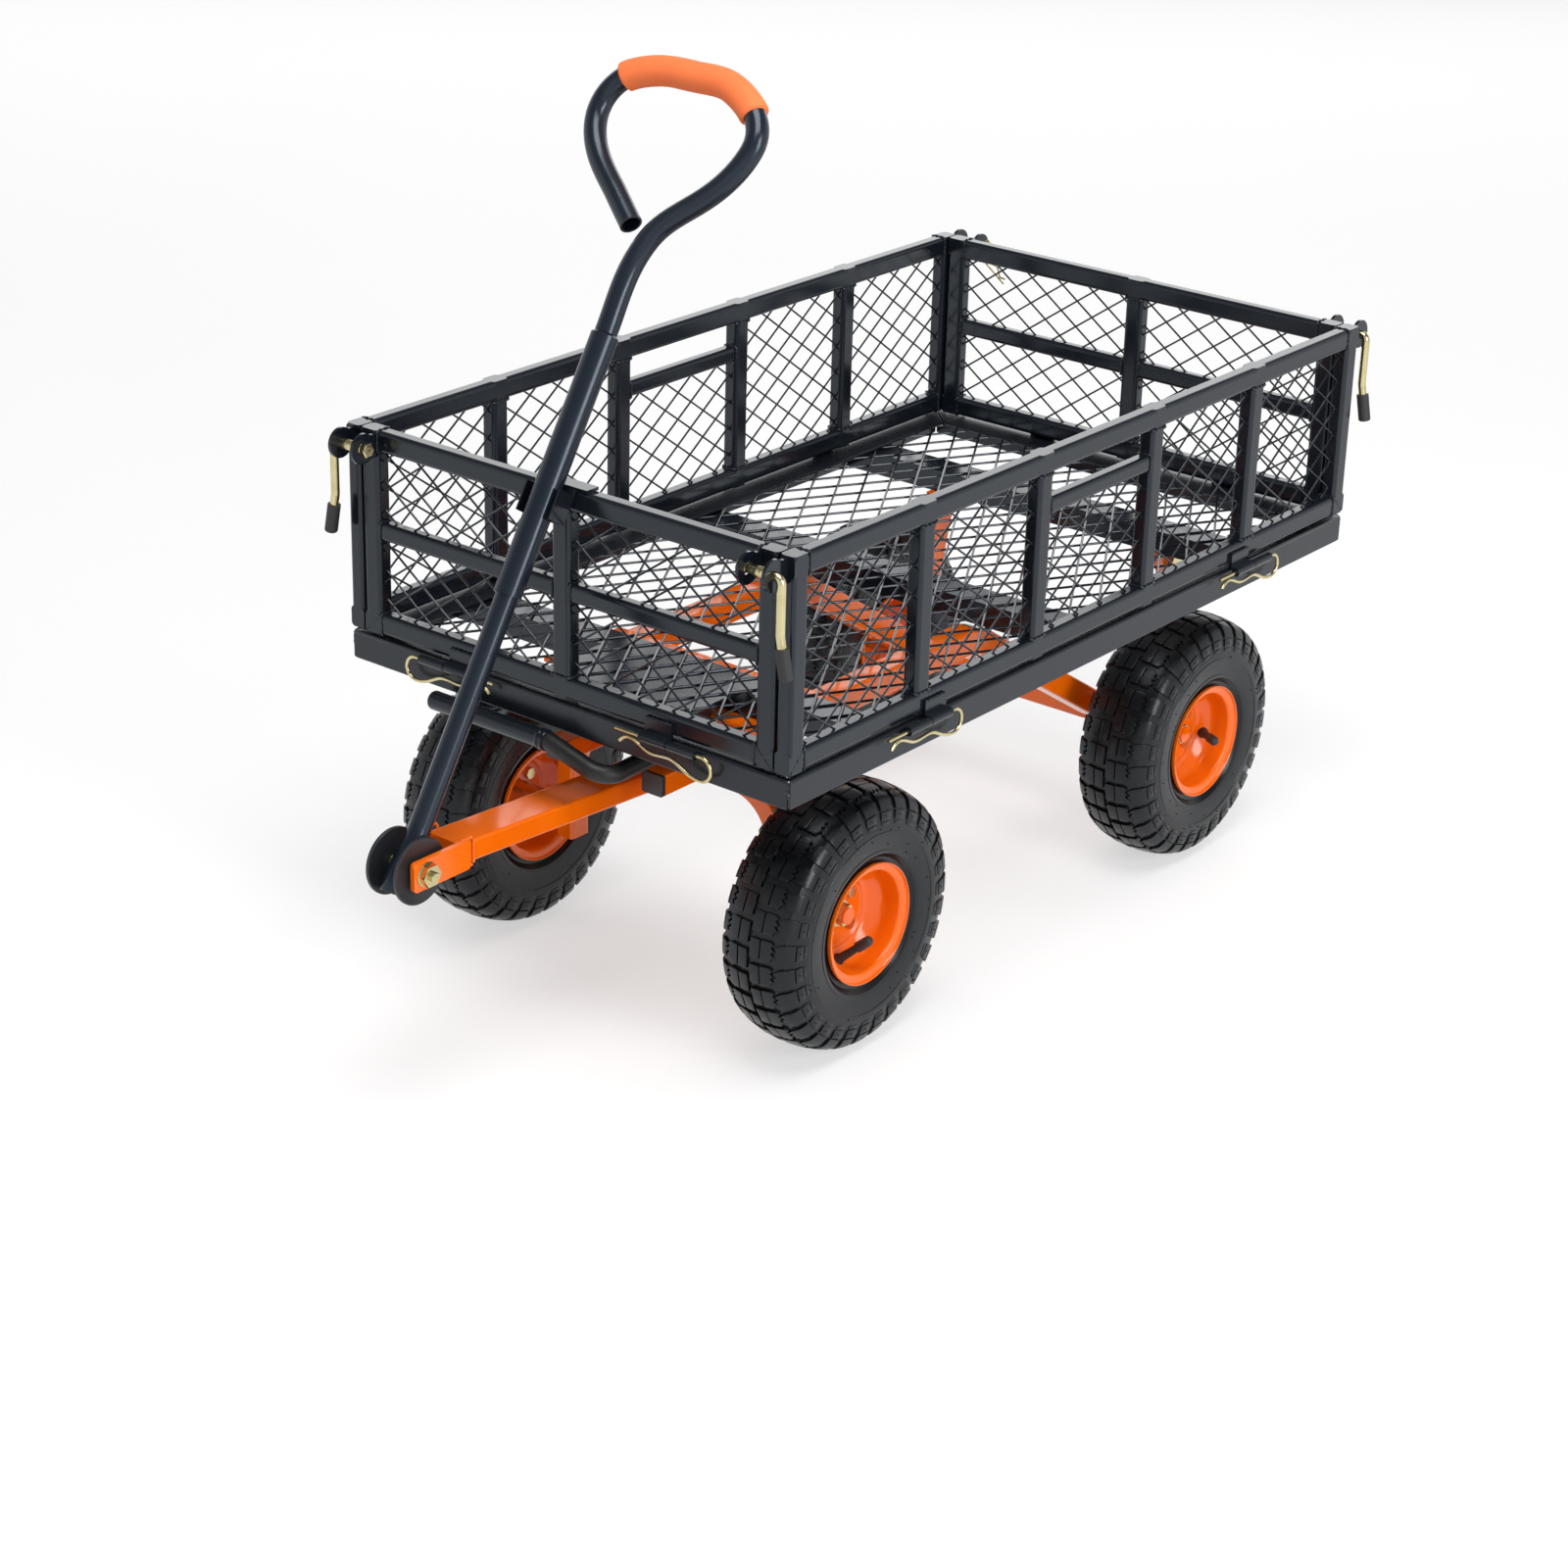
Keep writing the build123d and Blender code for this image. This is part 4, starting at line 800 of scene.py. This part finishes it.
clip_bends = [
    (-180.9, 469.6), (-195.8, 480.9), (-208.6, 491.1), (-211.3, 500.2), (-209.5, 508.0), (-204.7, 512.5),
    (-200.1, 510.2), (-199.6, 502.4), (-201.4, 493.0), (-198.3, 488.8), (-191.0, 487.0), (-188.1, 482.2),
    (-186.2, 476.5), (-179.2, 475.3),
]
bm = bmesh.new()
sweep(bm, smooth_line([spot(CLIP_X, y, z) for y, z in clip_bends], 6), 1.0 * MM, 10)
piece("spare_clip", mesh_from(bm, "spare_clip", "yellow_zinc"), "rear_right_latch", "yellow_zinc")
print("latches 4, spare clip 1")

# %% [markdown]
# The foam grip is pushed over the tube of the handle loop. It is a little fuller in the middle, and its
# cut ends are rounded by wear, so the sweep changes its radius along the way.

# %% Foam grip
HANDLE_LEAN = math.radians(31.55)
PIVOT_X, PIVOT_Z = 637.0, 229.0
GRIP_CORE = 10.5
FOAM_DEPTH = 2.75
END_ROUNDING = 3.0


def on_handle(sideways, distance, forward=0.0):
    """A point of the handle, in millimetres: sideways, up from the pivot, and forward of its middle."""
    x = PIVOT_X + forward * math.cos(HANDLE_LEAN) - distance * math.sin(HANDLE_LEAN)
    z = PIVOT_Z + forward * math.sin(HANDLE_LEAN) + distance * math.cos(HANDLE_LEAN)
    return spot(x, sideways, z)


hold_points = [(68.5, 686.0), (33.0, 706.2), (-6.0, 708.6), (-46.0, 707.4), (-80.0, 695.5)]
left_guide, right_guide = on_handle(77.0, 664.0), on_handle(-94.0, 672.0)
hold_line = smooth_line([on_handle(*p) for p in hold_points], 16, left_guide, right_guide)
lengths = [0.0]
for a, b in zip(hold_line, hold_line[1:]):
    lengths.append(lengths[-1] + (b - a).length / MM)
radii = []
for d in lengths:
    edge = min(d, lengths[-1] - d)
    rounding = math.sqrt(max(0.0, 1 - (1 - min(edge / END_ROUNDING, 1.0)) ** 2))
    wave = noise.noise((d * 0.05, 2.0, 0.0)) * 0.25
    radii.append((GRIP_CORE + FOAM_DEPTH * rounding + wave * rounding) * MM)
bm = bmesh.new()
sweep(bm, hold_line, radii, 40)
grip = piece("foam_grip", mesh_from(bm, "foam_grip", "foam_grip", 60), "handle", "foam_grip", "handle_grip")
print("grip length", round(lengths[-1]), "mm")

# %% [markdown]
# The handle's tube ends between two pressed discs that keep it centred in the fork. Its end is pressed
# wide and flat, runs on past the bolt and stops short of the discs' edge. Rings of growing width,
# joined up, give that flattened end.

# %% Handle foot
DISC_STEPS = 72
disc_outline = [
    (6.4, 14.4), (27.6, 14.4), (29.4, 14.2), (30.0, 14.9), (30.0, 17.0), (29.4, 17.6), (28.0, 17.6),
    (27.2, 17.2), (6.4, 17.2),
]
bm = bmesh.new()
lathe(bm, disc_outline, DISC_STEPS)
lathe(bm, mirrored(disc_outline), DISC_STEPS)
bmesh.ops.translate(bm, verts=bm.verts, vec=spot(PIVOT_X, 0.0, PIVOT_Z))
discs = mesh_from(bm, "handle_discs", "black_plastic")
piece("handle_discs", discs, "handle", "black_plastic", "handle_hub")

foot_shape = [
    (40.0, 9.9, 9.9), (26.0, 10.3, 10.1), (12.0, 12.6, 11.4), (-4.0, 15.2, 12.8), (-14.0, 15.8, 13.2),
    (-24.4, 15.8, 13.2), (-25.6, 15.0, 12.6), (-25.6, 12.6, 10.4), (-22.0, 12.4, 10.2),
]
FOOT_SIDES = 44
bm = bmesh.new()
turns = [2 * math.pi * k / FOOT_SIDES for k in range(FOOT_SIDES)]
rings = []
for distance, wide, thick in foot_shape:
    ring = [on_handle(thick * math.sin(a), distance, wide * math.cos(a)) for a in turns]
    rings.append([bm.verts.new(point) for point in ring])
for here, there in zip(rings, rings[1:]):
    for k in range(FOOT_SIDES):
        bm.faces.new((here[k - 1], here[k], there[k], there[k - 1]))
bm.faces.new(rings[0])
bm.faces.new(rings[-1])
piece("handle_tube_foot", mesh_from(bm, "handle_tube_foot", "handle_satin"), "handle", "frame_paint")
print("handle foot 2")

# %% [markdown]
# The handle turns on one bolt through the fork. A pressed flange spreads its load on each plate, and
# the end of the stud stands out of the nut on the left. They are rings on one axis, so they are turned
# too.

# %% Fork bolt flanges and stud
FLANGE_STEPS = 36
STUD_STEPS = 28
flange_outline = [(9.0, 24.82), (11.2, 24.82), (11.2, 25.6), (10.5, 26.3), (9.0, 26.3)]
stud_outline = [(0.3, 31.5), (4.6, 31.5), (4.6, 35.0), (3.8, 35.8), (0.3, 35.8)]
bm = bmesh.new()
lathe(bm, flange_outline, FLANGE_STEPS)
lathe(bm, mirrored(flange_outline), FLANGE_STEPS)
lathe(bm, stud_outline, STUD_STEPS)
bmesh.ops.translate(bm, verts=bm.verts, vec=spot(PIVOT_X, 0.0, PIVOT_Z))
piece("fork_bolt_trim", mesh_from(bm, "fork_bolt_trim", "yellow_zinc"), "steering", "yellow_zinc")
print("fork bolt rings 3")

# %% [markdown]
# The release lever is a bent black bar with a painted sleeve on its straight end. A pressed ring holds
# the sleeve, and its two ridges are part of one turned outline.

# %% Lever crimp ring
RING_PLACE = (461.0, 0.0, 286.5)
ring_outline = [
    (8.0, -8.6), (9.2, -8.6), (9.7, -7.6), (9.7, -5.6), (9.1, -4.8), (9.1, -4.0), (9.8, -3.2), (9.8, -0.6),
    (9.2, 0.4), (8.0, 0.4),
]
bm = bmesh.new()
lathe(bm, ring_outline, 40)
bmesh.ops.translate(bm, verts=bm.verts, vec=spot(*RING_PLACE))
piece("lever_crimp_ring", mesh_from(bm, "lever_crimp_ring", "frame_paint"), "lever", "frame_paint")
print("lever ring 1")

# %% [markdown]
# Where a tube meets a rail, the welder leaves a lumpy bead all round it. Each bead is a thin closed
# tube that follows the tube's outline and swells and shrinks a little on its way.

# %% Weld beads
BEAD_CORNER = 2.5
BEAD_STEP = 1.6
BEAD_SIDES = 6
BEAD_SHARP = 80


def bead_radius(size, ripple, place):
    """The radius of a bead at one step, with an even ripple and some noise."""
    return (size + 0.35 * math.sin(ripple) + 0.5 * noise.noise(place)) * MM


def bead_ring(bm, middle, along, up, half_along, half_up, size=1.5, seed=0.0):
    """A lumpy bead round a rectangle with rounded corners."""
    path = []
    for qa, qu in ((1, 1), (-1, 1), (-1, -1), (1, -1)):
        turn = math.atan2(qu, qa) - math.pi / 4
        for k in range(4):
            a = turn + math.pi / 2 * k / 3
            u = qa * (half_along - BEAD_CORNER) + BEAD_CORNER * math.cos(a)
            v = qu * (half_up - BEAD_CORNER) + BEAD_CORNER * math.sin(a)
            path.append((u, v))
    fine = []
    for p, q in zip(path, path[1:] + path[:1]):
        steps = max(1, int(math.dist(p, q) / BEAD_STEP))
        for k in range(steps):
            fine.append((p[0] + (q[0] - p[0]) * k / steps, p[1] + (q[1] - p[1]) * k / steps))
    radii = [bead_radius(size, k * 1.9, (u * 0.3, v * 0.3, seed)) for k, (u, v) in enumerate(fine)]
    sweep(bm, [middle + (along * u + up * v) * MM for u, v in fine], radii, BEAD_SIDES, closed=True)


def bead_line(bm, start, end, size=1.6, seed=0.0):
    """A lumpy bead along a straight joint."""
    steps = max(2, int((end - start).length / (BEAD_STEP * MM)))
    path = [start + (end - start) * (k / steps) for k in range(steps + 1)]
    radii = [bead_radius(size, k * 1.9 + seed, (k * 0.4, seed, 0.0)) for k in range(steps + 1)]
    sweep(bm, path, radii, BEAD_SIDES)


print("bead helpers ready")

# %% [markdown]
# The panels carry a ring at each end of an upright or short rail, a line above each hinge strap, and a
# fine line along each mitred corner. The fork and the steering head are welded to the tongue in the
# same way.

# %% Welds
POST_ENDS = (342.3, 494.7)
RAIL_HEIGHTS = (332.0, 505.0)
STRAP_Z = 333.2
STRAP_WIDTH = 29.0
MITRE_TOP, MITRE_FOOT = 341.5, 324.0
for side, sign in (("left", 1), ("right", -1)):
    y = sign * SIDE_PANEL_Y
    bm = bmesh.new()
    for x in (-262.0, -89.0, 89.0, 262.0):
        for z in POST_ENDS:
            bead_ring(bm, spot(x, y, z), X_AXIS, Y_AXIS, 10.2, 8.2, seed=x + z)
    for x in (-424.7, 424.7):
        for z in RAIL_HEIGHTS:
            bead_ring(bm, spot(x, y, z), Y_AXIS, Z_AXIS, 8.1, 10.1, 1.2, seed=x + z)
    for x in (-79.3, 79.3):
        bead_ring(bm, spot(x, y, 463.0), Y_AXIS, Z_AXIS, 7.2, 8.2, seed=x)
    strap_y = sign * 256.4
    for x in (232.0, -261.0):
        bead_line(bm, spot(x, strap_y, STRAP_Z), spot(x + STRAP_WIDTH, strap_y, STRAP_Z), 1.5, seed=x)
    mitre_y = sign * 254.9
    for end in (1, -1):
        top = spot(end * 425.5, mitre_y, MITRE_TOP)
        bead_line(bm, top, spot(end * 443.0, mitre_y, MITRE_FOOT), 0.8, seed=end)
    welds = mesh_from(bm, f"{side}_panel_welds", "frame_paint", BEAD_SHARP)
    piece(f"{side}_panel_welds", welds, f"{side}_panel", "frame_paint")

bm = bmesh.new()
for end in (1, -1):
    x = end * END_PANEL_X
    for z in POST_ENDS:
        bead_ring(bm, spot(x, 0.0, z), X_AXIS, Y_AXIS, 8.2, 10.2, seed=x + z)
    for y in (-216.7, 216.7):
        for z in RAIL_HEIGHTS:
            bead_ring(bm, spot(x, y, z), X_AXIS, Z_AXIS, 8.1, 10.1, 1.2, seed=y + z)
    for y in (-216.7, -10.3, 10.3, 216.7):
        bead_ring(bm, spot(x, y, 420.5), X_AXIS, Z_AXIS, 7.2, 8.7, seed=y)
    strap_x = end * 446.4
    for y in (100.0, -129.0):
        bead_line(bm, spot(strap_x, y, STRAP_Z), spot(strap_x, y + STRAP_WIDTH, STRAP_Z), 1.5, seed=y)
    mitre_x = end * 444.9
    for sign in (1, -1):
        top = spot(mitre_x, sign * 217.5, MITRE_TOP)
        bead_line(bm, top, spot(mitre_x, sign * 235.0, MITRE_FOOT), 0.8, seed=sign)
    for sign in (1, -1):
        foot = spot(end * 443.6, sign * 252.6, 303.0)
        bead_line(bm, foot, spot(end * 443.6, sign * 252.6, 316.0), 1.5, seed=sign * 254.0)
piece("bed_welds", mesh_from(bm, "bed_welds", "frame_paint", BEAD_SHARP), "bed", "frame_paint")

bm = bmesh.new()
for sign in (1, -1):
    for z in (216.2, 241.8):
        bead_line(bm, spot(579.0, sign * 20.6, z), spot(591.0, sign * 20.6, z), 1.3, seed=z)
    bead_line(bm, spot(577.2, sign * 20.8, 218.0), spot(577.2, sign * 20.8, 240.0), 1.4, seed=sign)
bead_ring(bm, spot(308.0, 0.0, 211.7), Y_AXIS, Z_AXIS, 20.2, 10.2, 1.6)
piece("tongue_welds", mesh_from(bm, "tongue_welds", "orange_paint", BEAD_SHARP), "steering", "orange_paint")
print("weld pieces 4")

# %% [markdown]
# Last, the view layer is brought up to date.

# %% Final update
bpy.context.view_layer.update()
